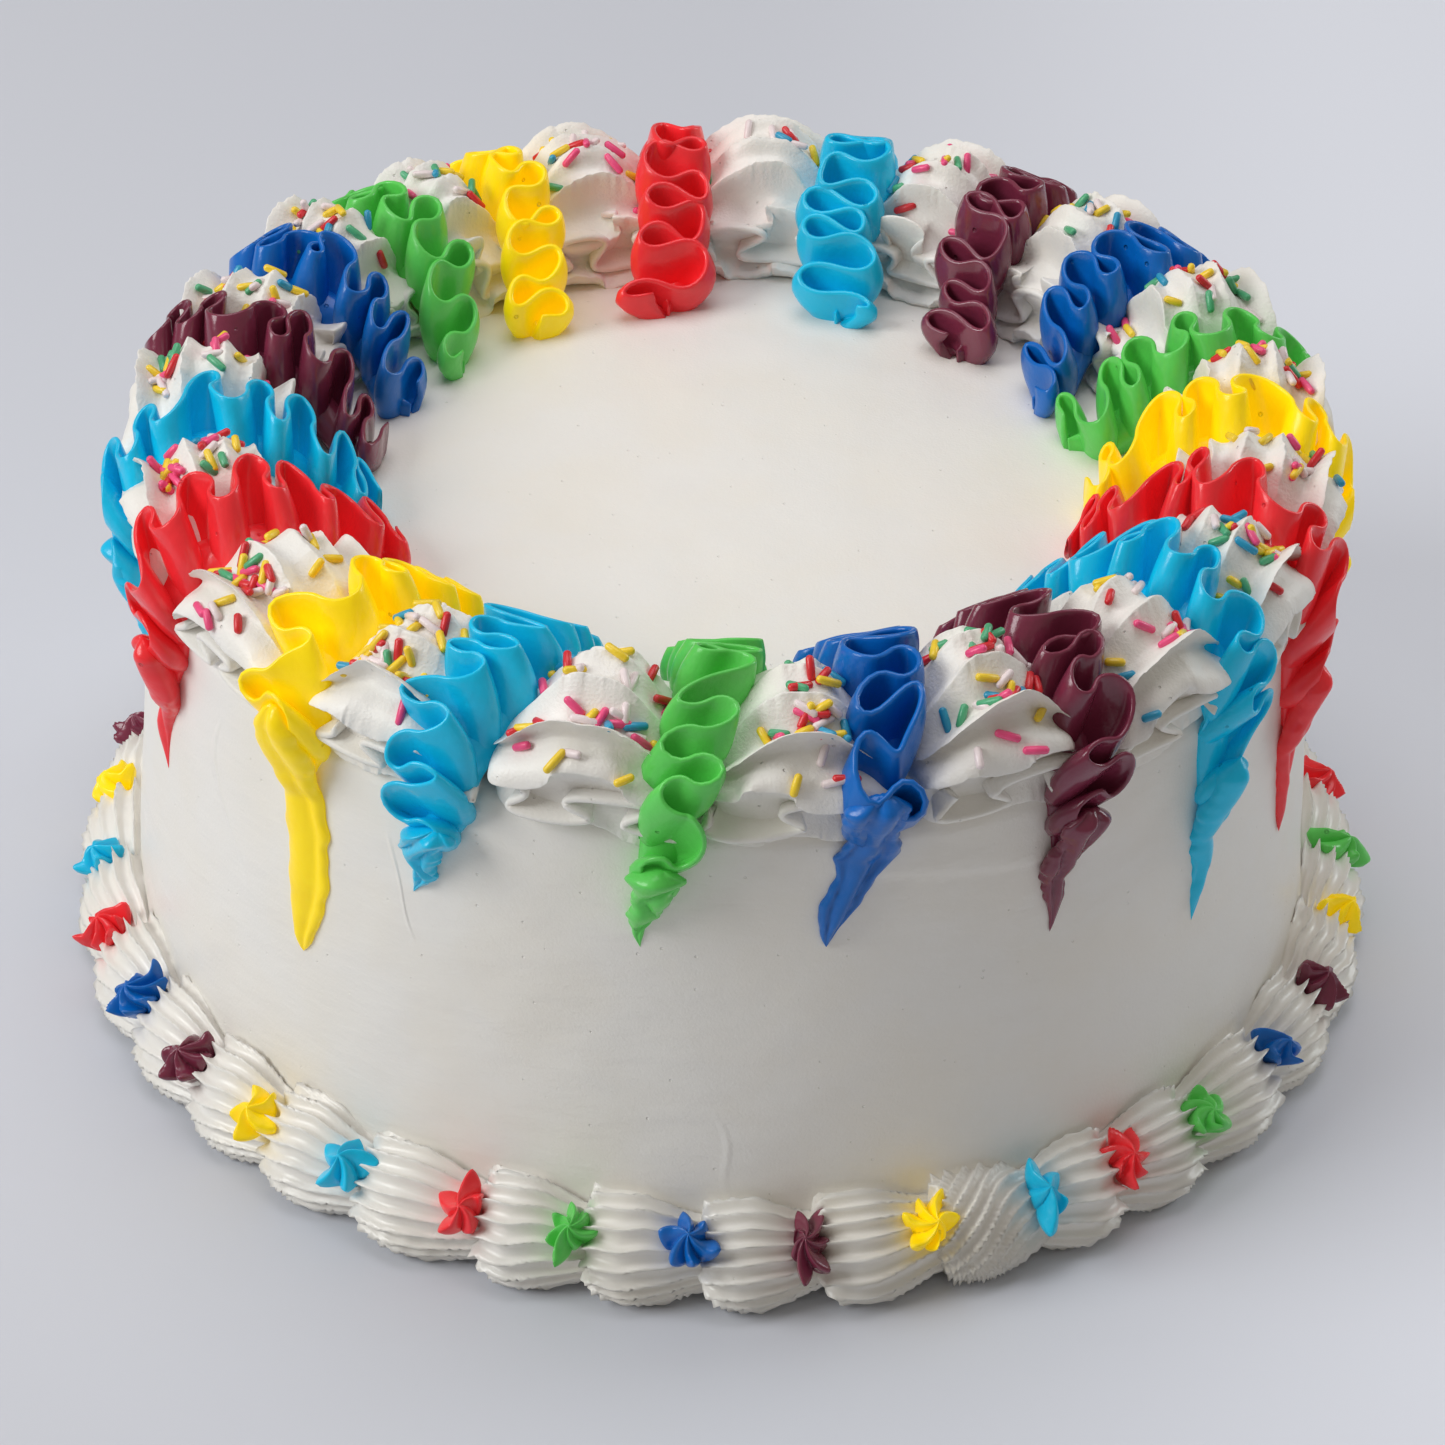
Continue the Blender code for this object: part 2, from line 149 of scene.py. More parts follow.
# Section of a swirl from its outer foot over the top to its inner foot, in millimetres: distance
# outwards from the swirl's middle line, height over the cake, share of the waver of its tier, tier
SWIRL_SECTION = (
    (8.0, -1.2, 0.0, 0),
    (13.0, -1.6, 0.2, 0),
    (15.4, -1.2, 1.0, 0),
    (15.4, -1.2, 1.0, 0),
    (15.2, 1.0, 0.8, 0),
    (13.6, 5.4, 0.2, 0),
    (15.0, 10.4, 0.3, 1),
    (20.0, 13.0, 1.0, 1),
    (20.0, 13.0, 1.0, 1),
    (19.8, 14.8, 0.8, 1),
    (18.2, 18.0, 0.5, 1),
    (12.2, 19.8, 0.3, 2),
    (13.4, 23.8, 0.7, 2),
    (16.4, 27.2, 1.0, 2),
    (16.4, 27.2, 1.0, 2),
    (14.6, 26.4, 0.9, 2),
    (11.6, 22.2, 0.2, 2),
    (9.6, 23.8, 0.3, 3),
    (7.2, 27.8, 0.7, 3),
    (5.6, 30.6, 1.0, 3),
    (5.6, 30.6, 1.0, 3),
    (4.4, 29.9, 0.9, 3),
    (2.6, 28.0, 0.2, 3),
    (-0.4, 29.0, 0.4, 4),
    (-3.0, 30.8, 1.0, 4),
    (-3.0, 30.8, 1.0, 4),
    (-4.4, 30.0, 0.9, 4),
    (-6.0, 26.6, 0.2, 4),
    (-8.4, 26.2, 0.8, 5),
    (-10.2, 27.2, 1.0, 5),
    (-10.2, 27.2, 1.0, 5),
    (-10.6, 25.4, 0.9, 5),
    (-9.6, 20.0, 0.4, 5),
    (-11.0, 16.6, 0.2, 6),
    (-17.4, 17.2, 1.0, 6),
    (-17.4, 17.2, 1.0, 6),
    (-18.0, 15.0, 0.9, 6),
    (-13.2, 8.0, 0.4, 6),
    (-15.4, 4.8, 0.3, 7),
    (-20.6, 2.8, 1.0, 7),
    (-20.6, 2.8, 1.0, 7),
    (-19.0, -0.6, 0.6, 7),
    (-10.0, -1.2, 0.0, 7),
)
# Waver of each tier's edge, its tilt from one side of the swirl to the other, and the height of its
# curls, in millimetres
SWIRL_WAVER = (1.4, 2.0, 1.0, 1.2, 1.3, 1.1, 1.8, 1.4)
SWIRL_TILT = (1.2, 2.6, 1.0, 1.0, 1.0, 1.2, 2.4, 1.6)
SWIRL_CURL = (1.0, 1.8, 0.0, 0.0, 0.0, 0.6, 4.6, 2.2)

# Curled frills at a swirl's outer foot and on its inner wall: radius at the root and at the free edge,
# height over the cake, half height of the curls, fewest and most curls; then the share of the swirl's
# width that they take and how far their curls loop back, as a share of a curl
FRILLS = (
    (0.1250, 0.1340, 0.0058, 0.0034, 1.1, 2.0),
    (0.1060, 0.0985, 0.0095, 0.0046, 0.9, 1.6),
)
FRILL_SPREAD = 0.80
FRILL_LOOP = 0.20

# Sprinkles: their size, the parts of a swirl's section they lie on (from row, to row, share of them),
# and their kinds with colour and share
SPRINKLE_LENGTH = 0.0060
SPRINKLE_RADIUS = 0.00092
SPRINKLE_BEDS = (
    (15.4, 18.2, 0.50),
    (21.4, 24.0, 0.26),
    (9.0, 11.2, 0.06),
    (26.0, 28.0, 0.14),
    (31.5, 34.0, 0.04),
)
SPRINKLE_KINDS = {
    "pink": ((0.90, 0.08, 0.24), 0.17),
    "red": ((0.72, 0.02, 0.03), 0.16),
    "yellow": ((0.96, 0.66, 0.03), 0.31),
    "blue": ((0.02, 0.33, 0.55), 0.09),
    "green": ((0.08, 0.42, 0.20), 0.13),
    "white": ((0.86, 0.74, 0.74), 0.14),
}

# Ribbons. One row per station from a ribbon's inner end to the rim: radius and height over the
# cake's top of its foot line, then of its free edge, then the half width of the folds at both
RIBBON_ROWS = (
    (0.0800, 0.0000, 0.0790, 0.0075, 0.0040, 0.0086),
    (0.0895, 0.0000, 0.0870, 0.0150, 0.0038, 0.0082),
    (0.0975, 0.0060, 0.0955, 0.0225, 0.0034, 0.0076),
    (0.1050, 0.0097, 0.1050, 0.0280, 0.0032, 0.0071),
    (0.1165, 0.0115, 0.1155, 0.0300, 0.0032, 0.0068),
    (0.1262, 0.0080, 0.1268, 0.0262, 0.0032, 0.0068),
    (0.1318, 0.0005, 0.1362, 0.0178, 0.0028, 0.0066),
)
# Further down the side: share of the way from the rim to the folds' end, stand-off of the free edge
# and the two half widths
RIBBON_TAIL = (
    (0.25, 0.0102, 0.0026, 0.0062),
    (0.60, 0.0080, 0.0022, 0.0055),
    (1.00, 0.0036, 0.0010, 0.0036),
)

# Radius inside which a ribbon drifts to its inner end's azimuth, share of the drift to the tip's
# azimuth that is done at the rim, spacing in degrees that leaves a ribbon its full width, share of
# the leaf that the folds lie over, and how much closer the folds are at the inner end
SKEW_RADIUS = 0.1000
RIM_DRIFT = 0.45
FULL_SPACING = 19.0
LEAF_OVERLAP = 0.8
INNER_DENSITY = 0.35

# The folds: lean that counts as full, the free edge's share of it, least and greatest swing and loop,
# wander of the phase in radians, bulge under the edge, width of the core, and in metres the nod
# along the ribbon, the drift to a side, the rise and fall of the lobes and the edge's fine waver
FULL_LEAN = 0.0050
EDGE_LEAN = 0.65
SWING_SPREAD = (0.74, 1.22)
LOOP_SPREAD = (0.70, 1.25)
PHASE_WANDER = 1.2
BULGE = 0.30
CORE_WIDTH = 0.74
NOD = 0.0026
DRIFT = 0.0010
LOBE_RISE = 0.0010
EDGE_WAVER = 0.0003
STATIONS_PER_FOLD = 30

# The leaf: how far it starts over the tail's share, how far below the folds it settles on the wall,
# its depth under the free edge, and its half thickness at the start and what it loses to the tip
LEAF_START = 0.008
LEAF_SETTLING = 0.010
LEAF_DEPTH = 0.0012
LEAF_THICKNESS = (0.0044, 0.0026)

# Azimuth at the crest, at the inner end and at the tip, the tip's height, the number of folds, the
# side that the first fold turns to and how far the free edge leans to the right, then for the flat
# leaf at the end its share of the tail, its half width, its pleats and its bluntness
RIBBONS = (
    (-2.4, -2.0, -7.3, 0.084, 8.5, 1, 0.0060, 0.56, 0.0052, 1, 1.4),
    (16.4, 16.0, 9.4, 0.0845, 6.5, -1, 0.0018, 1.22, 0.0066, 2, 2.3),
    (34.5, 36.5, 30.7, 0.077, 8.5, 1, 0.0056, 0.72, 0.0050, 2, 1.5),
    (53.9, 55.8, 49.2, 0.061, 9.0, -1, 0.0054, 0.66, 0.0050, 1, 1.9),
    (71.0, 73.0, 67.1, 0.059, 8.5, 1, 0.0056, 0.65, 0.0048, 1, 1.9),
    (88.5, 86.5, 88.0, 0.070, 7.5, -1, 0.0054, 0.60, 0.0050, 1, 1.8),
    (104.5, 104.9, 103.0, 0.075, 8.0, 1, 0.0044, 0.55, 0.0050, 1, 1.6),
    (124.5, 119.0, 127.0, 0.078, 8.5, -1, 0.0030, 0.60, 0.0050, 2, 1.6),
    (144.1, 138.5, 147.0, 0.074, 9.5, 1, 0.0012, 0.60, 0.0050, 1, 1.6),
    (165.4, 162.4, 168.0, 0.080, 9.5, -1, 0.0000, 0.55, 0.0050, 1, 1.6),
    (188.1, 191.6, 186.0, 0.072, 8.5, 1, -0.0008, 0.60, 0.0050, 2, 1.6),
    (210.0, 215.6, 208.0, 0.078, 8.0, -1, -0.0010, 0.60, 0.0054, 1, 1.8),
    (226.4, 232.5, 225.0, 0.075, 7.5, 1, -0.0026, 0.55, 0.0050, 1, 1.6),
    (241.5, 249.0, 240.0, 0.070, 8.5, -1, -0.0042, 0.60, 0.0050, 1, 1.6),
    (258.5, 263.7, 258.0, 0.074, 8.5, 1, -0.0052, 0.60, 0.0050, 2, 1.6),
    (276.8, 280.5, 283.3, 0.082, 8.0, -1, -0.0058, 0.65, 0.0052, 1, 1.5),
    (297.3, 294.5, 292.9, 0.069, 8.0, 1, -0.0058, 0.70, 0.0052, 1, 1.5),
    (319.1, 317.6, 318.7, 0.057, 6.5, -1, -0.0048, 1.05, 0.0056, 1, 5.0),
    (337.6, 335.0, 331.7, 0.085, 10.0, 1, -0.0056, 0.52, 0.0050, 2, 1.7),
)

# Roughness, coat and glow of each coloured icing; the glow is painted light, an emission that lifts the
# icing's shaded sides in place of translucency
ICING_SURFACES = {
    "red": (0.26, 0.35, 0.05),
    "yellow": (0.30, 0.20, 0.22),
    "green": (0.28, 0.25, 0.08),
    "sky": (0.27, 0.30, 0.06),
    "blue": (0.25, 0.30, 0.01),
    "purple": (0.19, 0.55, 0.02),
}

# Camera of the picture: focal length in pixels of a square frame, place, and turns in degrees
FRAME_PIXELS = 1445
FOCAL_PIXELS = 4185.9
CAMERA_PLACE = (0.0, -0.80357, 0.61138)
CAMERA_PITCH = 35.025
CAMERA_YAW = -0.042
CAMERA_ROLL = 1.413
SENSOR = 36.0

# Lights: place, size, power and colour; the place they look at; the light of the room; and the
# floor's reach and its gap under the cake
LIGHTS = {
    "key": ((-1.5, -0.5, 1.1), 1.1, 19.8, (0.985, 1.0, 1.0)),
    "overhead": ((-0.1, 0.3, 1.9), 1.6, 14.4, (0.96, 0.945, 1.0)),
    "rim": ((1.5, 0.9, 0.8), 0.8, 7.2, (0.90, 0.97, 1.0)),
}
LIGHT_TARGET = (0.0, 0.0, 0.08)
ROOM_COLOUR = (1.0, 0.93, 0.80)
ROOM_STRENGTH = 0.24
FLOOR_REACH = 4.0
FLOOR_GAP = 0.0002


class CakeShape(bpy.types.PropertyGroup):
    """Sizes of the piped icing."""

    flute_depth: bpy.props.FloatProperty(
        name="Flute depth",
        description="Depth of the shells' flutes",
        default=0.0013,
        unit="LENGTH",
    )
    fold_loop: bpy.props.FloatProperty(
        name="Fold loop",
        description="How far a ribbon's folds loop back, as a share of a fold",
        default=0.27,
    )
    edge_thickness: bpy.props.FloatProperty(
        name="Edge thickness",
        description="Thickness of a ribbon's free edge",
        default=0.0010,
        unit="LENGTH",
    )
    foot_thickness: bpy.props.FloatProperty(
        name="Foot thickness",
        description="Thickness of a ribbon at its foot",
        default=0.0028,
        unit="LENGTH",
    )
    sprinkles: bpy.props.IntProperty(
        name="Sprinkles",
        description="Sprinkles on each swirl",
        default=30,
        min=0,
    )


def colour_property(name, default, description):
    """A colour that the panel shows."""
    about = {"name": name, "description": description, "default": default}
    return bpy.props.FloatVectorProperty(subtype="COLOR", **about)


class CakeColours(bpy.types.PropertyGroup):
    """Colours of the icing and the floor."""

    white: colour_property("White", (0.87, 0.85, 0.81), "Colour of the white icing")
    red: colour_property("Red", (0.90, 0.030, 0.040), "Colour of the red icing")
    yellow: colour_property("Yellow", (0.98, 0.70, 0.002), "Colour of the yellow icing")
    green: colour_property("Green", (0.105, 0.58, 0.095), "Colour of the green icing")
    sky: colour_property("Sky blue", (0.003, 0.52, 0.81), "Colour of the light blue icing")
    blue: colour_property("Blue", (0.001, 0.14, 0.53), "Colour of the dark blue icing")
    purple: colour_property("Burgundy", (0.19, 0.026, 0.058), "Colour of the burgundy icing")
    floor: colour_property("Floor", (0.635, 0.655, 0.715), "Colour of the floor")


class Wire:
    """One output socket of a finish; arithmetic on it adds Math nodes."""

    def __init__(self, finish, socket):
        self.finish = finish
        self.socket = socket

    def math(self, operation, *others):
        """A Math node on this value and the others."""
        values = {number: value for number, value in enumerate((self, *others))}
        return self.finish.node("ShaderNodeMath", {"operation": operation}, values)

    def __add__(self, other):
        return self.math("ADD", other)

    __radd__ = __add__

    def __sub__(self, other):
        return self.math("SUBTRACT", other)

    def __rsub__(self, other):
        return self.finish.node("ShaderNodeMath", {"operation": "SUBTRACT"}, {0: other, 1: self})

    def __mul__(self, other):
        return self.math("MULTIPLY", other)

    __rmul__ = __mul__

    def __truediv__(self, other):
        return self.math("DIVIDE", other)

    def __pow__(self, other):
        return self.math("POWER", other)

    def between(self, low, high):
        """A smooth step from 0 at low to 1 at high."""
        sockets = {"Value": self, "From Min": low, "From Max": high}
        return self.finish.node("ShaderNodeMapRange", {"interpolation_type": "SMOOTHSTEP"}, sockets)


class Finish:
    """The material of one kind of icing, sugar or floor, on Object coordinates."""

    def __init__(self, name):
        self.material = bpy.data.materials.new(name)
        self.material.use_nodes = True
        self.tree = self.material.node_tree
        self.shader = self.tree.nodes["Principled BSDF"]
        self.place = self.node("ShaderNodeTexCoord", output="Object")

    def node(self, kind, settings=None, sockets=None, output=0):
        """A node of this type with its settings made first, then its sockets' values or links."""
        made = self.tree.nodes.new(kind)
        for key, value in (settings or {}).items():
            setattr(made, key, value)
        for key, value in (sockets or {}).items():
            self.feed(made.inputs[key], value)
        return Wire(self, made.outputs[output])

    def feed(self, socket, value):
        """Links a wire to a socket, or sets the socket to a constant."""
        if isinstance(value, Wire):
            self.tree.links.new(value.socket, socket)
        else:
            socket.default_value = value

    def noise(self, scale, detail=3.0, stretch=(1.0, 1.0, 1.0), roughness=0.5):
        """Noise of so many waves a metre, squeezed along the axes by stretch."""
        place = self.node("ShaderNodeMapping", None, {"Vector": self.place, "Scale": stretch})
        sockets = {"Vector": place, "Scale": scale, "Detail": detail, "Roughness": roughness}
        return self.node("ShaderNodeTexNoise", None, sockets)

    def pits(self, scale, size, share):
        """Round pits of a size, as a share of a cell, in so many of the cells of a Voronoi pattern."""
        sockets = {"Vector": self.place, "Scale": scale}
        near = self.node("ShaderNodeTexVoronoi", None, sockets, "Distance")
        colour = self.node("ShaderNodeTexVoronoi", None, sockets, "Color")
        pick = self.node("ShaderNodeSeparateColor", None, {"Color": colour}, "Red")
        kept = pick.between(share + 0.02, share - 0.02)
        return near.between(size, 0.4 * size) * kept

    def mix(self, share, first, second):
        """Two colours mixed by a share."""
        made = self.tree.nodes.new("ShaderNodeMix")
        made.data_type = "RGBA"
        self.feed(made.inputs["Factor"], share)
        for socket, value in ((made.inputs[6], first), (made.inputs[7], second)):
            self.feed(socket, value if isinstance(value, Wire) else (*value, 1.0))
        return Wire(self, made.outputs[2])

    def bump(self, height, distance, below=None):
        """A normal raised by height times distance, over the normal below."""
        sockets = {"Height": height, "Distance": distance, "Strength": 1.0}
        if below is not None:
            sockets["Normal"] = below
        return self.node("ShaderNodeBump", None, sockets)

    def shade(self, **values):
        """Sets or links the shader's sockets, named with underscores for spaces."""
        for name, value in values.items():
            socket = self.shader.inputs[name.replace("_", " ").title().replace("Ior", "IOR")]
            self.feed(socket, value)


def tinted(colour, factor):
    """The colour times a factor, at most 1."""
    return tuple(min(1.0, channel * factor) for channel in colour)


def white_icing(name, colour, roughness, coat, grain, lines):
    """White icing: faint cream clouds, a fine airy grain, a few pits and, on smoothed icing, faint
    lines."""
    finish = Finish(name)
    cloud = finish.noise(38.0, 4.0)
    warm = (colour[0], colour[1] * 0.985, colour[2] * 0.955)
    finish.shade(base_color=finish.mix(cloud.between(0.35, 0.70), colour, warm))
    finish.shade(roughness=roughness + 0.12 * finish.noise(150.0, 2.0))
    height = finish.bump(finish.noise(1500.0, 4.0), 0.00010 * grain)
    height = finish.bump(1.0 - finish.pits(420.0, 0.16, 0.10), 0.00022 * grain, height)
    if lines:
        level = finish.node("ShaderNodeSeparateXYZ", None, {"Vector": finish.place}, "Z")
        wall = level.between(0.020, 0.035) * level.between(0.100, 0.088)
        crease = (finish.noise(9.0, 2.0) - 0.5).math("ABSOLUTE").between(0.006, 0.0)
        kept = finish.noise(14.0, 0.0, (1.0, 1.0, 0.6)).between(0.52, 0.62)
        height = finish.bump(crease * kept * wall, 0.00025, height)
        drawn = finish.noise(60.0, 3.0, (1.0, 1.0, 3.0))
        height = finish.bump(drawn, 0.0004, height)
    finish.shade(normal=height)
    finish.shade(coat_weight=coat, coat_roughness=0.25)
    return finish.material


def coloured_icing(name, colour, roughness, coat, painted_glow):
    """Coloured icing: slightly mottled, satin, with fine drawn streaks, a few burst air bubbles darkened
    inside with painted shade, and a glow of painted light over it all.
    """
    finish = Finish(name)
    cloud = finish.noise(90.0, 3.0).between(0.3, 0.7)
    shade = finish.mix(cloud, tinted(colour, 0.92), tinted(colour, 1.05))
    holes = finish.pits(230.0, 0.15, 0.10)
    # Painted shade: the base colour is darkened towards half inside the pits, the hollows of burst air
    # bubbles; their bump is real.
    finish.shade(base_color=finish.mix(0.35 * holes, shade, tinted(colour, 0.5)))
    finish.shade(roughness=roughness + 0.10 * finish.noise(200.0, 2.0))
    height = finish.bump(finish.noise(700.0, 3.0), 0.00012)
    finish.shade(normal=finish.bump(1.0 - holes, 0.0006, height))
    finish.shade(coat_weight=coat, coat_roughness=0.12, specular_ior_level=0.35)
    # The emission is painted light: a glow that brightens the shaded sides of the icing in place of
    # translucency.
    finish.shade(emission_color=(*colour, 1.0), emission_strength=painted_glow)
    return finish.material


def sugar(name, colour):
    """A sugar strand: even colour, a slightly uneven satin shell."""
    finish = Finish(name)
    cloud = finish.noise(500.0, 2.0)
    finish.shade(base_color=finish.mix(cloud, tinted(colour, 0.88), tinted(colour, 1.08)))
    finish.shade(roughness=0.30 + 0.15 * finish.noise(900.0, 2.0))
    finish.shade(normal=finish.bump(finish.noise(1800.0, 2.0), 0.00008))
    finish.shade(coat_weight=0.25, coat_roughness=0.2)
    return finish.material


def floor_finish(colour):
    """A smooth matt table top with a trace of unevenness, painted lighter towards +X: painted light that
    offsets the cake's shadow on that side.
    """
    finish = Finish("floor finish")
    cloud = finish.noise(2.0, 2.0)
    shade = finish.mix(cloud, tinted(colour, 0.985), tinted(colour, 1.015))
    level = finish.node("ShaderNodeSeparateXYZ", None, {"Vector": finish.place}, "X")
    # Painted light: the floor's colour grows about a quarter lighter towards +X, where the cake's shadow
    # falls.
    finish.shade(base_color=finish.mix(level.between(-0.02, 0.22), shade, tinted(colour, 1.24)))
    finish.shade(roughness=0.55, specular_ior_level=0.2)
    return finish.material


def unit(vectors):
    """The vectors over their lengths."""
    return vectors / np.maximum(np.linalg.norm(vectors, axis=-1, keepdims=True), 1e-12)


def around(azimuth, radius, height):
    """Points at these azimuths, radii and heights: the radius times the sine of the azimuth towards +X,
    and times its cosine towards -Y."""
    turn = np.radians(azimuth)
    parts = np.broadcast_arrays(radius * np.sin(turn), -radius * np.cos(turn), height)
    return np.stack(parts, axis=-1).astype(float)


def smooth_step(values, low, high):
    """Three times the square of the share from low to high, less twice its cube: 0 at low, 1 at high."""
    share = np.clip((values - low) / (high - low), 0.0, 1.0)
    return share * share * (3.0 - 2.0 * share)


def wander(places, rng, waves=4, slowest=0.5, fastest=3.0):
    """A smooth wavering line about 1 high: a sum of sines of random pitch and phase."""
    pitch = rng.uniform(slowest, fastest, waves) * TAU
    start = rng.uniform(0.0, TAU, waves)
    return np.sin(np.multiply.outer(places, pitch) + start).mean(axis=-1) * 1.5


def ripple(points, size, rng, waves=18):
    """A smooth uneven field about 1 high: a sum of plane waves about so long, in random directions."""
    directions = unit(rng.normal(size=(waves, 3))) * TAU / size
    directions *= rng.uniform(0.6, 1.5, (waves, 1))
    start = rng.uniform(0.0, TAU, waves)
    return np.sin(points @ directions.T + start).mean(axis=-1) * math.sqrt(waves) * 0.7


def tube(points, first=None, last=None):
    """A closed shell through a grid of loops: vertices, four-sided and three-sided faces. Each end is
    a fan of triangles to a pole, the loop's middle where none is given."""
    rows, sides = points.shape[:2]
    first = points[0].mean(axis=0) if first is None else first
    last = points[-1].mean(axis=0) if last is None else last
    vertices = np.concatenate([points.reshape(-1, 3), [first, last]])
    corner = np.arange(rows * sides).reshape(rows, sides)
    beside = np.roll(corner, -1, axis=1)
    walls = [corner[:-1], beside[:-1], beside[1:], corner[1:]]
    quads = np.stack([wall.ravel() for wall in walls], axis=1)
    low = np.full(sides, rows * sides)
    start = np.stack([low, beside[0], corner[0]], axis=1)
    end = np.stack([low + 1, corner[-1], beside[-1]], axis=1)
    return turned_outwards(vertices, quads, np.concatenate([start, end]))


def turned_outwards(vertices, quads, triangles):
    """The faces all turned round where the shell's signed volume is below zero."""
    halves = np.concatenate([quads[:, [0, 1, 2]], quads[:, [0, 2, 3]], triangles])
    corners = vertices[halves] - vertices.mean(axis=0)
    if np.linalg.det(corners).sum() < 0.0:
        quads = quads[:, ::-1]
        triangles = triangles[:, ::-1]
    return vertices, quads, triangles


def add_mesh(name, shells, material):
    """One object of closed shells, shaded smooth."""
    vertices = np.concatenate([shell[0] for shell in shells])
    starts = np.cumsum([0] + [len(shell[0]) for shell in shells[:-1]])
    quads = np.concatenate([shell[1] + start for shell, start in zip(shells, starts)])
    triangles = np.concatenate([shell[2] + start for shell, start in zip(shells, starts)])
    mesh = bpy.data.meshes.new(name)
    mesh.vertices.add(len(vertices))
    mesh.vertices.foreach_set("co", vertices.astype(np.float32).ravel())
    mesh.loops.add(quads.size + triangles.size)
    corners = np.concatenate([quads.ravel(), triangles.ravel()])
    mesh.loops.foreach_set("vertex_index", corners.astype(np.int32))
    sizes = np.concatenate([np.full(len(quads), 4), np.full(len(triangles), 3)])
    mesh.polygons.add(len(sizes))
    mesh.polygons.foreach_set("loop_start", (np.cumsum(sizes) - sizes).astype(np.int32))
    mesh.polygons.foreach_set("use_smooth", np.ones(len(sizes), bool))
    mesh.update(calc_edges=True)
    mesh.validate()
    mesh.materials.append(material)
    piece = bpy.data.objects.new(name, mesh)
    bpy.context.scene.collection.objects.link(piece)
    return piece


def add_piece(name, shells, material, slot, *nodes):
    """A piece of the cake that rides on its body and stands for these nodes."""
    piece = add_mesh(name, shells, material)
    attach(piece, "root")
    if nodes:
        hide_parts(*nodes)
    return piece


def thick_sheet(middle, half):
    """A closed sheet: the middle surface moved half the thickness to both sides along its normals,
    with a round free edge at the last row across."""
    along = np.gradient(middle, axis=0)
    upward = np.gradient(middle, axis=1)
    normal = unit(np.cross(along, upward))
    shift = half[..., None] * normal
    edge = middle[:, -1:]
    edge_away = shift[:, -1:]
    edge_up = unit(upward[:, -1:]) * half[:, -1:, None]
    round_edge = ((0.75, 0.6), (0.0, 0.9), (-0.75, 0.6))
    rim = [edge + away * edge_away + up * edge_up for away, up in round_edge]
    return tube(np.concatenate([middle + shift, *rim, (middle - shift)[:, ::-1]], axis=1))


def side_radius(height):
    """Radius of the drum's wall at a height: a straight line from its foot to its top."""
    return FOOT_RADIUS + (TOP_RADIUS - FOOT_RADIUS) * height / TOP


def body_surface():
    """The drum: a profile of radius and height turned round the axis. Its wall and top waver by a
    fraction of a millimetre, and a step in the icing runs under the front right swirls."""
    rng = np.random.default_rng(3)
    edge_height = TOP - EDGE_RADIUS
    edge_centre = side_radius(edge_height) - EDGE_RADIUS
    wall = np.linspace(0.0, edge_height, 96)
    bend = np.linspace(0.0, 0.5 * math.pi, 11)[1:]
    flat = np.linspace(edge_centre, 0.0, 44)[1:-1]
    radius = np.concatenate([side_radius(wall), edge_centre + EDGE_RADIUS * np.cos(bend), flat])
    height = np.concatenate([wall, edge_height + EDGE_RADIUS * np.sin(bend), np.full(len(flat), TOP)])
    outward = np.concatenate([np.ones(len(wall)), np.cos(bend), np.zeros(len(flat))])
    upward = np.concatenate([np.zeros(len(wall)), np.sin(bend), np.ones(len(flat))])
    azimuth = np.linspace(-180.0, 180.0, 420, endpoint=False)
    points = around(azimuth[None, :], radius[:, None], height[:, None])
    proud = 0.00030 * ripple(points * (1.0, 1.0, 1.8), 0.09, rng) + 0.00012 * ripple(points, 0.022, rng)
    seam = SEAM_HEIGHT - SEAM_FALL * (azimuth - SEAM_MIDDLE)
    start, risen, falling, end = SEAM_ENDS
    window = smooth_step(azimuth, start, risen) * smooth_step(azimuth, end, falling)
    step = smooth_step(height[:, None] - seam[None, :], -0.0006, 0.0008) * window[None, :]
    proud = proud + SEAM_RISE * step * outward[:, None]
    settled = smooth_step(height, 0.0, 0.004)[:, None]
    radius = radius[:, None] + proud * outward[:, None] * settled
    points = around(azimuth[None, :], radius, height[:, None] + proud * upward[:, None])
    centre_height = points[-1, :, 2].mean()
    return tube(points, np.array([0.0, 0.0, 0.0]), np.array([0.0, 0.0, centre_height]))


def node_azimuth(node):
    """Azimuth of the middle of a node's box."""
    low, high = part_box(node)
    return math.degrees(math.atan2(0.5 * (low.x + high.x), -0.5 * (low.y + high.y)))


def star_nodes():
    """The stars' nodes with their azimuths, in order of azimuth."""
    nodes = [node for node in SLOTS if node.startswith("star_")]
    return sorted((node_azimuth(node), node) for node in nodes)


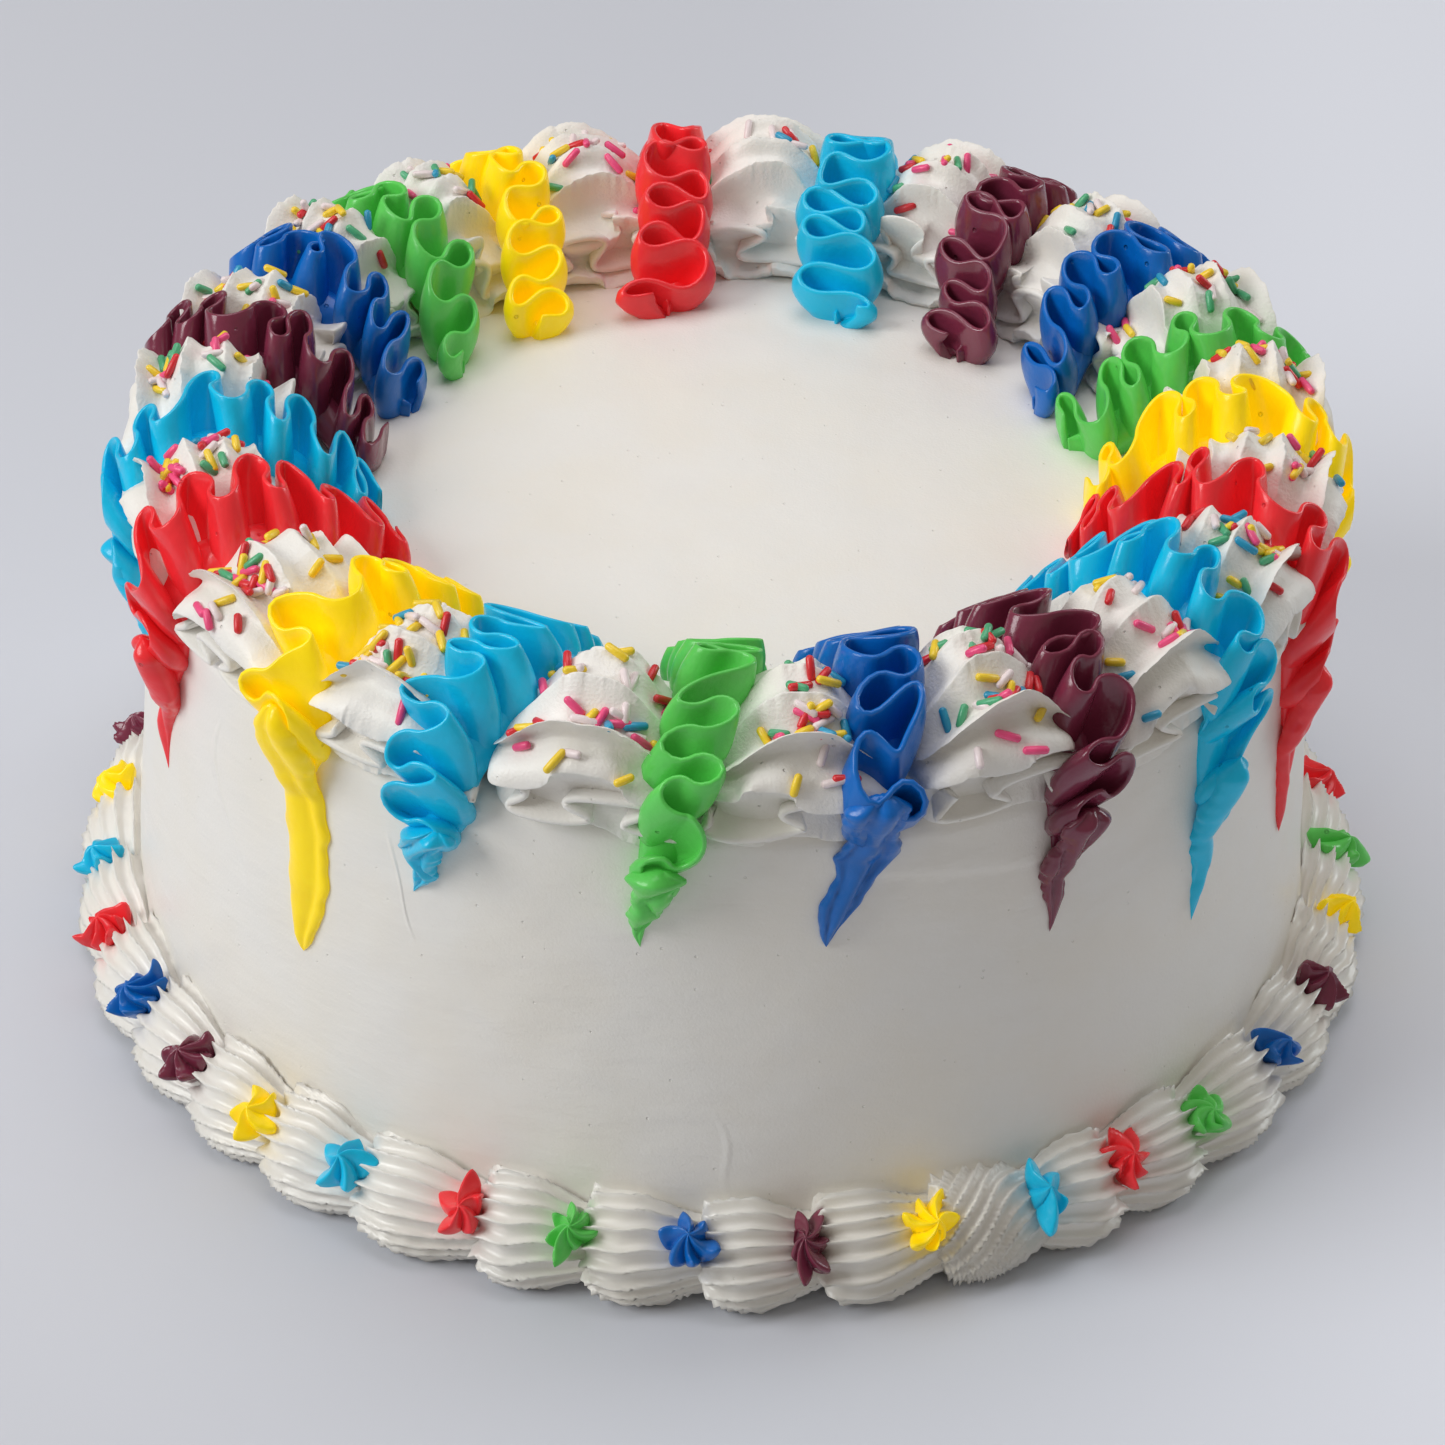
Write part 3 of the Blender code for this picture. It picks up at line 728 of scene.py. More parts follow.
def foot_shell(start, end, way, swirled, rng, depth):
    """One shell: an oval section carried round the foot from its blunt head to its tail. Its outline
    has sharp ridges and hollow flutes. The section is widest behind the head and narrows to the tail,
    so the ridges draw together there; at the head they end in lips, which step back towards the
    ground."""
    head, tail = (start, end) if way > 0 else (end, start)
    head += SHELL_SHIFT * way
    grown = np.linspace(0.05, 1.0, 10)
    body = np.linspace(SHELL_HEAD, 1.0, 32)[1:]
    along = np.concatenate([SHELL_HEAD * (1.0 - np.sqrt(1.0 - grown**2)), body])
    size = np.concatenate([grown, np.ones(len(body))])
    outer = np.linspace(-1.9, 1.95, 132)
    turn = np.concatenate([outer, np.linspace(1.95, TAU - 1.9, 14)[1:-1]])
    belly = 1.03 - TAIL_TAPER * smooth_step(along, 0.25, 1.10)
    belly = belly - HEAD_TAPER * smooth_step(along, 0.30, 0.0)
    size_out = size * belly * rng.uniform(0.98, 1.04)
    size_up = size * (0.93 + 0.07 * np.sin(math.pi * np.clip(along / 0.7, 0.0, 1.0)))
    size_up = size_up * (1.0 - 0.32 * smooth_step(along, 0.35, 1.0)) * rng.uniform(0.98, 1.03)
    lean = SHELL_TWIST * (1.0 - along) + swirled * JOIN_TWIST * (1.0 - along) ** 2
    phase = SHELL_FLUTES * (turn[None, :] + lean[:, None] + 0.03 * wander(along, rng)[:, None])
    phase = phase + rng.uniform(0.0, TAU) + 1.3 * wander(turn / TAU, rng, 3, 1.0, 3.0)[None, :]
    wave = np.abs(np.sin(0.5 * phase + 0.25 * np.sin(phase)))
    ridge = 1.0 - FLUTE_SHARE * wave**0.75
    carved = depth * size * (1.45 - 0.85 * along)
    out = (SHELL_DEPTH * size_out)[:, None] * np.cos(turn)[None, :]
    tall = np.where(np.sin(turn) > 0.0, SHELL_CROWN, SHELL_TUCK)[None, :]
    up = SHELL_CENTRE * np.ones((len(along), 1)) + size_up[:, None] * tall * np.sin(turn)[None, :]
    out = out + (carved[:, None] * ridge) * np.cos(turn)[None, :]
    up = up + (carved[:, None] * ridge) * np.sin(turn)[None, :]
    back = SHELL_RAKE * smooth_step(-np.sin(turn), -0.15, 0.95) * (1.0 - 0.5 * swirled)
    travel = back[None, :] + (1.0 - back[None, :]) * along[:, None]
    lip = SHELL_LIP * (size[:, None] ** 3) * ridge * np.clip(1.0 - along / 0.35, 0.0, 1.0)[:, None]
    azimuth = head + (tail - head) * SHELL_REACH * travel - way * lip
    radius = FOOT_RADIUS + 0.0006 + out
    under = np.where(up < 0.0, 0.35 * up, 0.0)
    return tube(around(azimuth, radius - under, np.maximum(up, 0.0003 * (1.0 + 0.5 * ridge))))


def foot_shells(depth):
    """Shells between the stars. Their heads point to the left on one side of the joining place and to
    the right on the other, and the shell on the joining place is swirled."""
    azimuths = [azimuth for azimuth, _ in star_nodes()]
    ends = azimuths[1:] + [azimuths[0] + 360.0]
    shells = []
    for number, (start, end) in enumerate(zip(azimuths, ends)):
        rng = np.random.default_rng(100 + number)
        middle = 0.5 * (start + end)
        past = (middle - SHELL_JOIN + 180.0) % 360.0 - 180.0
        swirled = 1.0 if abs(past) < 4.0 else 0.0
        way = -1 if past > 4.0 else 1
        shells.append(foot_shell(start, end, way, swirled, rng, depth))
    return shells


def star_shell(azimuth, rng):
    """A drop star: rings from its sunk foot over a flared edge to its peak. The rings' outline has
    petals of unequal length, broad with narrow creases or drawn out to a ridge, and the petals wind a
    little towards the peak. The creases are hollow and some petals curl up at their ends."""
    fewest, most = STAR_PETALS
    petals = int(rng.integers(fewest, most + 1))
    pointed = rng.uniform(0.1, 0.6)
    rise = np.linspace(0.0, 1.0, 24)
    turn = np.linspace(0.0, TAU, 90, endpoint=False)
    places, reaches, heights = zip(*STAR_PROFILE)
    reach = np.interp(rise, places, reaches)
    height = np.interp(rise, places, heights)
    wound = rng.choice((-1, 1)) * rng.uniform(*STAR_WIND)
    count = petals * (turn[None, :] + wound * (1.0 - reach[:, None])) / TAU + rng.uniform(0.0, 1.0)
    phase = math.pi * count
    rounded = np.abs(np.cos(phase)) ** 0.45
    sharp = 1.0 - np.abs(np.sin(phase)) ** 1.1
    petal = (1.0 - pointed) * rounded + pointed * sharp
    which = np.floor(count + 0.5).astype(int) % petals
    sizes = rng.uniform(*PETAL_SPREAD, petals)[which] * petal
    curls = rng.uniform(*PETAL_CURL, petals)[which] * petal**2
    span = 1.04 + 0.16 * np.sin(2.0 * turn + rng.uniform(0.0, TAU)) + sizes
    depth = np.interp(reach, (0.0, 0.3, 1.0), (0.1, 0.40, 0.50))[:, None]
    flat = STAR_RADIUS * reach[:, None] * (1.0 - depth * (1.0 - petal)) * span
    crease = STAR_CREASE * (1.0 - petal) * np.sin(math.pi * rise)[:, None]
    up = STAR_HEIGHT * height[:, None] - crease + curls * smooth_step(reach, 0.6, 1.0)[:, None]
    out = around(azimuth, 1.0, 0.0)
    along = np.array([-out[1], out[0], 0.0])
    tilt = math.radians(STAR_TILT)
    axis = math.cos(tilt) * out + math.sin(tilt) * np.array([0.0, 0.0, 1.0])
    across = np.cross(axis, along)
    lean = rng.uniform(-0.0016, 0.0016, 2)
    shift = (np.clip(rise, 0.3, 1.0) - 0.3)[:, None, None] * (lean[0] * along + lean[1] * across)
    flat_x = (flat * np.cos(turn)[None, :])[..., None] * along
    flat_y = (STAR_STRETCH * flat * np.sin(turn)[None, :])[..., None] * across
    return flat_x + flat_y + up[..., None] * axis + shift


def star_points(azimuth, node, rng):
    """The star set down on its node's place, a little higher and closer to the wall."""
    low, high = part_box(node)
    middle = 0.5 * (np.array(low) + np.array(high))
    shift = np.array([0.0, 0.0, STAR_LIFT]) - STAR_SINK * around(azimuth, 1.0, 0.0)
    return tube(middle + shift + star_shell(azimuth, rng))


def read_rows(rows, shares):
    """The rows read at these shares of the free edge's length, on a Catmull-Rom curve through them."""
    padded = np.vstack([2 * rows[0] - rows[1], rows, 2 * rows[-1] - rows[-2]])
    before, start, end, after = padded[:-3], padded[1:-2], padded[2:-1], padded[3:]
    share = np.linspace(0.0, 1.0, 16, endpoint=False)[None, :, None]
    before, start, end, after = (part[:, None, :] for part in (before, start, end, after))
    slope = end - before + (2 * before - 5 * start + 4 * end - after) * share
    slope = slope + (3 * start - before - 3 * end + after) * share**2
    fine = (start + 0.5 * share * slope).reshape(-1, rows.shape[1])
    fine = np.vstack([fine, rows[-1]])
    steps = np.hypot(*np.diff(fine[:, 2:4], axis=0).T)
    length = np.concatenate([[0.0], np.cumsum(steps)])
    columns = [np.interp(shares * length[-1], length, column) for column in fine.T]
    return np.stack(columns, axis=1), length[-1]


def frill_shell(number, frill):
    """A curled frill of a swirl: a sheet whose free edge swings up and down as a sine and loops back
    sideways, standing out from under the swirl's lip."""
    root, end, level, size, fewest, most = FRILLS[frill]
    azimuth, half_width = swirl_span(number)
    rng = np.random.default_rng(2100 + 100 * frill + number)
    waves = rng.uniform(fewest, most)
    share = np.linspace(0.0, 1.0, 84)
    phase = TAU * waves * (share + 0.05 * wander(share, rng)) + rng.uniform(0.0, TAU)
    swing = size * rng.uniform(0.8, 1.15) * (1.0 + 0.3 * wander(share, rng))
    pitch = 2.0 * FRILL_SPREAD * half_width / waves
    sideways = azimuth + half_width * (FRILL_SPREAD * (2.0 * share - 1.0) + rng.uniform(-0.06, 0.06))
    reach = np.linspace(0.0, 1.0, 12)
    grown = 0.40 + 0.60 * reach
    turned = sideways[:, None] - (FRILL_LOOP * pitch * np.sin(2.0 * phase))[:, None] * grown[None, :]
    height = TOP + level + (swing * np.sin(phase))[:, None] * grown[None, :] - 0.0008 * reach[None, :]
    uneven = 0.0006 * wander(share, rng, 5, 1.0, 6.0)[:, None]
    radius = root + (end - root) * reach[None, :] + uneven * reach[None, :]
    half = (0.0016 - 0.0008 * reach)[None, :] * np.ones((len(share), 1))
    return thick_sheet(around(turned, radius, height), half)


def ribbon_rows(tip_height, leaf_share):
    """Foot line and free edge of a ribbon as rows of radius and height, with the half widths."""
    rows = np.array(RIBBON_ROWS)
    rows[:, 1] += TOP
    rows[:, 3] += TOP
    tail = np.array(RIBBON_TAIL)
    end_height = TOP + (tip_height - TOP) * (1.0 - LEAF_OVERLAP * leaf_share)
    height = rows[-1, 1] + (end_height - rows[-1, 1]) * tail[:, 0]
    free = rows[-1, 3] + (end_height - rows[-1, 3]) * tail[:, 0]
    out = side_radius(free) + tail[:, 1]
    tail_rows = np.stack([side_radius(height), height, out, free, tail[:, 2], tail[:, 3]], axis=1)
    return np.vstack([rows, tail_rows])


def ribbon_azimuth(number, radius, height):
    """A ribbon's azimuth: that of its crest, drawn to that of its inner end inside the swirls' ring and
    to that of its tip down the wall."""
    crest, inner, tip, tip_height = RIBBONS[number][:4]
    inward = smooth_step(SKEW_RADIUS - radius, 0.0, SKEW_RADIUS - RIBBON_ROWS[0][0])
    down = smooth_step(TOP - height, 0.0, TOP - tip_height)
    down = RIM_DRIFT * smooth_step(radius, SWIRL_RADIUS, RIBBON_ROWS[-1][0]) + (1.0 - RIM_DRIFT) * down
    return crest + (inner - crest) * inward + (tip - crest) * down


def ribbon_width(number):
    """Share of the full width that the nearer of the two neighbouring ribbons leaves."""
    crests = np.array([spec[0] for spec in RIBBONS])
    spacing = np.diff(np.append(crests, crests[0] + 360.0))
    return min(1.0, min(spacing[number], spacing[number - 1]) / FULL_SPACING)


def ribbon_shells(number, loop, edge_half, foot_half):
    """A ribbon: a sheet from its foot line to its free edge, which leans to one side. Across the ribbon
    each line swings as the sine of the fold's phase, drawn to a bell where the ribbon leans, and along
    it the line loops back as the sine of twice the phase. The swing grows fast over the foot, so each
    fold has a round lower end, and bulges under the edge. A core fills the folds' feet, and a leaf lies
    on the wall below."""
    tip_height, folds, side, lean, leaf_share = RIBBONS[number][3:8]
    rng = np.random.default_rng(500 + number)
    wide = ribbon_width(number)
    aside = min(1.0, abs(lean) / FULL_LEAN)
    fine = np.linspace(0.0, 1.0, 400)
    turns = np.linspace(0.0, 1.0, int(folds * STATIONS_PER_FOLD) + 1)
    share = np.interp(turns, fine + INNER_DENSITY * fine * (1.0 - fine), fine)
    rows, length = read_rows(ribbon_rows(tip_height, leaf_share), share)
    foot, foot_up, edge, edge_up, foot_wide, edge_wide = rows.T
    azimuth = ribbon_azimuth(number, foot, foot_up)
    leaning = lean * smooth_step(share, 0.02, 0.38) * smooth_step(share, 1.02, 0.75)
    feet = around(azimuth - np.degrees((1.0 - EDGE_LEAN) * leaning / foot), foot, foot_up)
    edges = around(azimuth + np.degrees(EDGE_LEAN * leaning / edge), edge, edge_up)
    rise = np.linspace(0.0, 1.0, 16) ** 0.9
    middle = feet[:, None] + (edges - feet)[:, None] * rise[None, :, None]
    along = unit(np.gradient(edges, axis=0))[:, None]
    across = around(azimuth + 90.0, 1.0, 0.0)[:, None]
    start = 0.5 * math.pi * (1 - side)
    phase = TAU * folds * turns + PHASE_WANDER * wander(share, rng, 5, 1.0, 5.0) + start
    lobes = np.arange(int(2 * folds) + 4)
    lobe_size, lobe_loop, lobe_rise = (
        np.interp(phase / math.pi + 0.5, lobes, rng.uniform(low, high, len(lobes)))
        for low, high in (SWING_SPREAD, LOOP_SPREAD, (-1.0, 1.0))
    )
    lag = rng.uniform(-0.4, 0.4) + 0.5 * wander(share, rng, 3, 0.5, 2.0)
    phase = phase[:, None] + lag[:, None] * (1.0 - rise)[None, :]
    growth = 0.62 * np.sqrt(1.0 - (1.0 - np.clip(rise / 0.32, 0.0, 1.0)) ** 2) + 0.38 * rise
    growth = growth + BULGE * np.sin(math.pi * np.clip((rise - 0.25) / 0.75, 0.0, 1.0))
    tails = smooth_step(share, 1.0, 0.95) * smooth_step(share, -0.01, 0.02)
    swing = 0.6 * foot_wide[:, None] * (1.0 - growth) + 1.02 * edge_wide[:, None] * growth
    swing = wide * lobe_size[:, None] * swing
    wave = np.sin(phase)
    bell = 0.16 + 0.34 * aside
    pitch = length / folds / (1.0 + INNER_DENSITY * (1.0 - 2.0 * share))
    back = (loop * (1.0 - 0.5 * aside) * lobe_loop * pitch * tails)[:, None]
    back = back * (0.25 + 0.75 * np.clip(growth[None, :], 0.0, 1.0))
    drift = DRIFT * wander(share, rng, 3, 0.5, 2.0)[:, None] * rise[None, :]
    middle = middle + (swing * wave * (1.0 - bell + bell * wave**2) + drift)[..., None] * across
    nod = NOD * wander(share, rng, 5, 3.0, 9.0)[:, None] * rise[None, :] ** 2
    middle = middle + (nod * tails[:, None] - back * np.sin(2.0 * phase))[..., None] * along
    uneven = LOBE_RISE * lobe_rise * tails + EDGE_WAVER * wander(share, rng, 6, 6.0, 22.0)
    middle = middle + (uneven[:, None] * rise[None, :] ** 2)[..., None] * unit(edges - feet)[:, None]
    half = foot_half + (edge_half * (1.4 - 0.4 * aside) - foot_half) * rise[None, :] ** 1.6
    ends = 0.55 + 0.45 * smooth_step(share, 1.0, 0.92) * smooth_step(share, -0.01, 0.03)
    sheet = thick_sheet(middle, half * ends[:, None])
    core_half = CORE_WIDTH * wide * edge_wide * smooth_step(share, -0.02, 0.12)
    core = core_shell(feet, edges, across[:, 0], core_half)
    return [sheet, core, leaf_shell(number, edge, edge_up, rng)]


def core_shell(feet, edges, across, half_width):
    """The filling of the folds' feet: an oval section that stands on the foot line."""
    turn = np.linspace(0.0, TAU, 10, endpoint=False)
    up = (edges - feet)[:, None] * (0.14 + 0.30 * np.sin(turn))[None, :, None]
    sideways = half_width[:, None, None] * np.cos(turn)[None, :, None] * across[:, None]
    return tube(feet[:, None] + up + sideways)


def leaf_shell(number, edge, edge_up, rng):
    """The flat end of a ribbon, smeared on the wall: a lens section that narrows to a point at the tip,
    with a wavering outline and a pleat or two along it. Above the last fold it lies on the free edge,
    and below it comes down to the wall."""
    tip_height = RIBBONS[number][3]
    leaf_share, half_width, pleats, blunt = RIBBONS[number][7:]
    down = np.linspace(0.0, 1.0, 72)
    top_height = TOP + (tip_height - TOP) * (1.0 - leaf_share) + LEAF_START
    height = top_height + (tip_height - top_height) * down
    falling = np.arange(len(edge)) >= np.argmax(edge_up)
    over = np.interp(height, edge_up[falling][::-1], edge[falling][::-1]) - side_radius(height)
    settled = smooth_step(edge_up[-1] - height, LEAF_SETTLING, 0.0)
    over = np.where(height > edge_up[-1], over, edge[-1] - side_radius(edge_up[-1])) * settled
    over = np.clip(over - LEAF_DEPTH, 0.0, None) + LEAF_DEPTH * smooth_step(down, 0.6, 0.0)
    height = height[:, None]
    width = half_width * (1.0 - down**blunt) ** (0.6 + 0.6 / blunt) + 0.0005 * (1.0 - down**8)
    width = width * (1.0 + 0.18 * wander(down, rng, 4, 1.0, 4.0)) * ribbon_width(number)
    width = width * np.sqrt(np.clip(down / 0.10, 0.05, 1.0))
    turn = np.linspace(0.0, TAU, 40, endpoint=False)
    start_half, lost = LEAF_THICKNESS
    thick = (start_half - lost * down) * np.minimum(1.0, width / 0.0026) * smooth_step(down, -0.05, 0.10)
    place = pleats * (0.5 + 0.5 * np.cos(turn))[None, :] + 0.35 * wander(down, rng, 3, 0.5, 2.0)[:, None]
    crease = np.abs(np.sin(math.pi * (place + rng.uniform(0.2, 0.5)))) ** 0.7
    proud = 0.0002 + over[:, None] + thick[:, None] * np.sin(turn)[None, :] * (0.35 + 0.65 * crease)
    radius = side_radius(height) + proud
    ragged = 0.10 * wander(down, rng, 8, 5.0, 14.0)[:, None] * np.cos(turn)[None, :] ** 2
    bent = np.degrees(0.0009 * wander(down, rng, 2, 0.5, 1.5) / TOP_RADIUS)[:, None]
    line = ribbon_azimuth(number, FOOT_RADIUS, height) + bent
    sideways = np.degrees(width[:, None] * np.cos(turn)[None, :] * (1.0 + ragged) / radius)
    return tube(around(line + sideways, radius, height + 0.0 * sideways))


def spline_weights(places, count):
    """Weights of the control points of a uniform cubic B-spline, one row per place."""
    gap = np.abs(places[..., None] - np.arange(count))
    near = 2.0 / 3.0 - gap**2 + 0.5 * gap**3
    far = np.clip(2.0 - gap, 0.0, None) ** 3 / 6.0
    weights = np.where(gap < 1.0, near, far)
    return weights / weights.sum(axis=-1, keepdims=True)


def swirl_span(number):
    """Azimuth and half width of the swirl after a ribbon."""
    left = RIBBONS[number][0]
    right = RIBBONS[(number + 1) % len(RIBBONS)][0]
    if right < left:
        right += 360.0
    return 0.5 * (left + right), 0.5 * (right - left)


def swirl_points(number, across, places, paired=False):
    """Points of a swirl at shares across it (-1 to 1) and places along its section: a B-spline through
    the section's rows, carried across the swirl. Its height falls towards the ribbons. Every tier's
    edge tilts, wavers and is a little torn; some curl, up and down as a sine and sideways as the sine
    of twice its phase. The ends are drawn in to a round close. Paired shares and places give a point
    each, and otherwise they give a grid."""
    azimuth, half_width = swirl_span(number)
    rng = np.random.default_rng(900 + number)
    section = np.array(SWIRL_SECTION)
    out = np.repeat(section[None, :, 0], len(across), axis=0)
    up = np.repeat(section[None, :, 1], len(across), axis=0) * rng.uniform(0.94, 1.05)
    side = np.zeros_like(out)
    for tier, (waver, tilt, curl) in enumerate(zip(SWIRL_WAVER, SWIRL_TILT, SWIRL_CURL)):
        member = section[:, 3] == tier
        share = section[member, 2][None, :]
        slow = 0.6 * waver * wander(across, rng, 4, 0.3, 1.2)
        slow_up = 0.6 * waver * wander(across, rng, 4, 0.3, 1.2)
        slow_up = slow_up + rng.uniform(-tilt, tilt) * across
        slow_up = slow_up + rng.uniform(-0.6, 1.4) * (0.4 - across**2)
        fine = SWIRL_FINE[0] * wander(across, rng, 6, 3.0, 9.0)
        fine = fine + SWIRL_FINE[1] * wander(across, rng, 8, 9.0, 24.0)
        torn = rng.uniform(*SWIRL_TORN) * smooth_step(wander(across, rng, 4, 2.0, 6.0), 0.5, 1.0)
        phase = math.pi * rng.uniform(1.2, 2.0) * across + rng.uniform(0.0, TAU)
        out[:, member] += share * slow[:, None] + share**6 * fine[:, None]
        curled = slow_up + curl * np.sin(phase)
        up[:, member] += share * curled[:, None] + share**6 * (fine + torn)[:, None]
        side[:, member] -= 0.045 * curl * share * np.sin(2.0 * phase)[:, None]
    foot_fall, more_fall, full_height = SWIRL_FALL
    fall = foot_fall + more_fall * np.clip(up, 0.0, full_height)
    fall = fall * smooth_step(np.abs(across), 0.10, 1.15)[:, None]
    up = np.where(up > 0.0, up * (1.0 - fall), up)
    out = out * (1.0 - SWIRL_NARROWING * np.abs(across) ** 3)[:, None]
    drawn = np.sqrt(np.clip(1.0 - np.abs(across) ** SWIRL_CLOSE, 0.0, 1.0))[:, None]
    out = out * drawn
    up = SWIRL_SPINE + (up - SWIRL_SPINE) * drawn
    side = SWIRL_SPREAD * across[:, None] + side * (1.0 - across[:, None] ** 4)
    weights = spline_weights(places, len(section))
    if paired:
        out, up, side = ((values * weights).sum(axis=1) for values in (out, up, side))
    else:
        out, up, side = (values @ weights.T for values in (out, up, side))
    return around(azimuth + half_width * side, SWIRL_RADIUS + out * MM, TOP + up * MM)


def swirl_shell(number):
    """One swirl as a closed shell, its columns closer together near the ribbons."""
    share = np.linspace(-1.0, 1.0, 99)
    across = np.sign(share) * (1.0 - (1.0 - np.abs(share)) ** 1.3)
    places = np.linspace(0.0, len(SWIRL_SECTION) - 1.0, 129)
    points = swirl_points(number, across, places)
    rng = np.random.default_rng(1300 + number)
    rough = 0.00012 * ripple(points, 0.006, rng) + 0.00007 * ripple(points, 0.0025, rng)
    return tube(points + rough[..., None] * np.array([0.3, 0.3, 1.0]))


def sprinkle_spots(per_swirl, rng):
    """Places and outward directions of the sprinkles, most of them in loose clusters on the swirls'
    ledges and domes."""
    starts, ends, shares = (np.array(column) for column in zip(*SPRINKLE_BEDS))
    spots = []
    outwards = []
    for number in range(len(RIBBONS)):
        count = int(round(per_swirl * rng.uniform(0.65, 1.25)))
        bed = rng.choice(len(SPRINKLE_BEDS), count, p=shares / shares.sum())
        places = starts[bed] + (ends[bed] - starts[bed]) * rng.random(count)
        heaps = rng.uniform(-0.5, 0.5, 3)
        across = heaps[rng.integers(0, 3, count)] + rng.normal(0.0, 0.16, count)
        across = np.where(rng.random(count) < 0.3, rng.uniform(-0.7, 0.7, count), across)
        across = np.clip(across, -0.74, 0.74)
        step = 0.02
        spot = swirl_points(number, across, places, True)
        beside = swirl_points(number, across + step, places, True)
        above = swirl_points(number, across, places + step, True)
        spots.append(spot)
        outwards.append(unit(np.cross(beside - spot, above - spot)))
    return np.concatenate(spots), np.concatenate(outwards)


def strands(centres, axes, lengths):
    """Capsules round these axes: rings from one pole to the other, half of them moved to each end."""
    rings = np.linspace(-0.5 * math.pi, 0.5 * math.pi, 9)[1:-1]
    turn = np.linspace(0.0, TAU, 9, endpoint=False)
    helper = np.where(np.abs(axes[:, 2:]) < 0.9, (0.0, 0.0, 1.0), (1.0, 0.0, 0.0))
    first = unit(np.cross(axes, helper))
    second = np.cross(axes, first)
    ring_radius = SPRINKLE_RADIUS * np.cos(rings)
    shells = []
    for centre, axis, one, two, length in zip(centres, axes, first, second, lengths):
        straight = 0.5 * length - SPRINKLE_RADIUS
        shift = SPRINKLE_RADIUS * np.sin(rings) + np.sign(np.sin(rings)) * straight
        flat = np.cos(turn)[:, None] * one + np.sin(turn)[:, None] * two
        points = centre + shift[:, None, None] * axis + ring_radius[:, None, None] * flat[None]
        end = 0.5 * length * axis
        shells.append(tube(points, centre - end, centre + end))
    return shells


def colours():
    """The scene's colours."""
    return bpy.context.scene.cake_colours


def shape():
    """The scene's sizes."""
    return bpy.context.scene.cake_shape


class CAKE_OT_body(bpy.types.Operator):
    """Spreads the smooth white icing of the drum"""

    bl_idname = "cake.body"
    bl_label = "Smooth icing"

    def execute(self, context):
        finish = white_icing("smooth icing", colours().white, 0.42, 0.10, 0.7, True)
        add_piece("smooth_icing", [body_surface()], finish, SLOTS["cake_body"], "cake_body")
        return {"FINISHED"}


class CAKE_OT_foot_shells(bpy.types.Operator):
    """Pipes the fluted shells round the foot"""

    bl_idname = "cake.foot_shells"
    bl_label = "Shell border"

    def execute(self, context):
        finish = white_icing("shell icing", colours().white, 0.30, 0.35, 0.5, False)
        shells = foot_shells(shape().flute_depth)
        for quarter in range(4):
            part = shells[quarter * len(shells) // 4:(quarter + 1) * len(shells) // 4]
            add_piece(f"foot_shells_{quarter + 1}", part, finish, SLOTS["base_border"], "base_border")
        return {"FINISHED"}


def icing_finishes():
    """The coloured icings by material slot."""
    finishes = {}
    for name, surface in ICING_SURFACES.items():
        known = bpy.data.materials.get(name + " icing")
        colour = tuple(getattr(colours(), name))
        finishes["icing_" + name] = known or coloured_icing(name + " icing", colour, *surface)
    return finishes


class CAKE_OT_stars(bpy.types.Operator):
    """Drops the coloured stars on the joints between the shells"""

    bl_idname = "cake.stars"
    bl_label = "Stars"

    def execute(self, context):
        finishes = icing_finishes()
        for azimuth, node in star_nodes():
            rng = np.random.default_rng(int(node[-2:]) + 40)
            slot = SLOTS[node]
            name = "drop_" + node
            add_piece(name, [star_points(azimuth, node, rng)], finishes[slot], slot, node)
        return {"FINISHED"}


class CAKE_OT_swirls(bpy.types.Operator):
    """Pipes the white swirls and their curled frills on the rim"""

    bl_idname = "cake.swirls"
    bl_label = "Swirls"

    def execute(self, context):
        finish = white_icing("swirl icing", colours().white, 0.40, 0.12, 1.6, False)
        for number in range(len(RIBBONS)):
            shells = [swirl_shell(number), frill_shell(number, 0), frill_shell(number, 1)]
            add_piece(f"swirl_{number + 1:02d}", shells, finish, SLOTS["top_border"], "top_border")
        return {"FINISHED"}


class CAKE_OT_ribbons(bpy.types.Operator):
    """Pipes the ruffled ribbons over the rim"""

    bl_idname = "cake.ribbons"
    bl_label = "Ribbons"

    def execute(self, context):
        finishes = icing_finishes()
        sizes = shape()
        for number in range(len(RIBBONS)):
            node = f"ribbon_{number + 1:02d}"
            halves = (0.5 * sizes.edge_thickness, 0.5 * sizes.foot_thickness)
            shells = ribbon_shells(number, sizes.fold_loop, *halves)
            add_piece("ruffled_" + node, shells, finishes[SLOTS[node]], SLOTS[node], node)
        return {"FINISHED"}


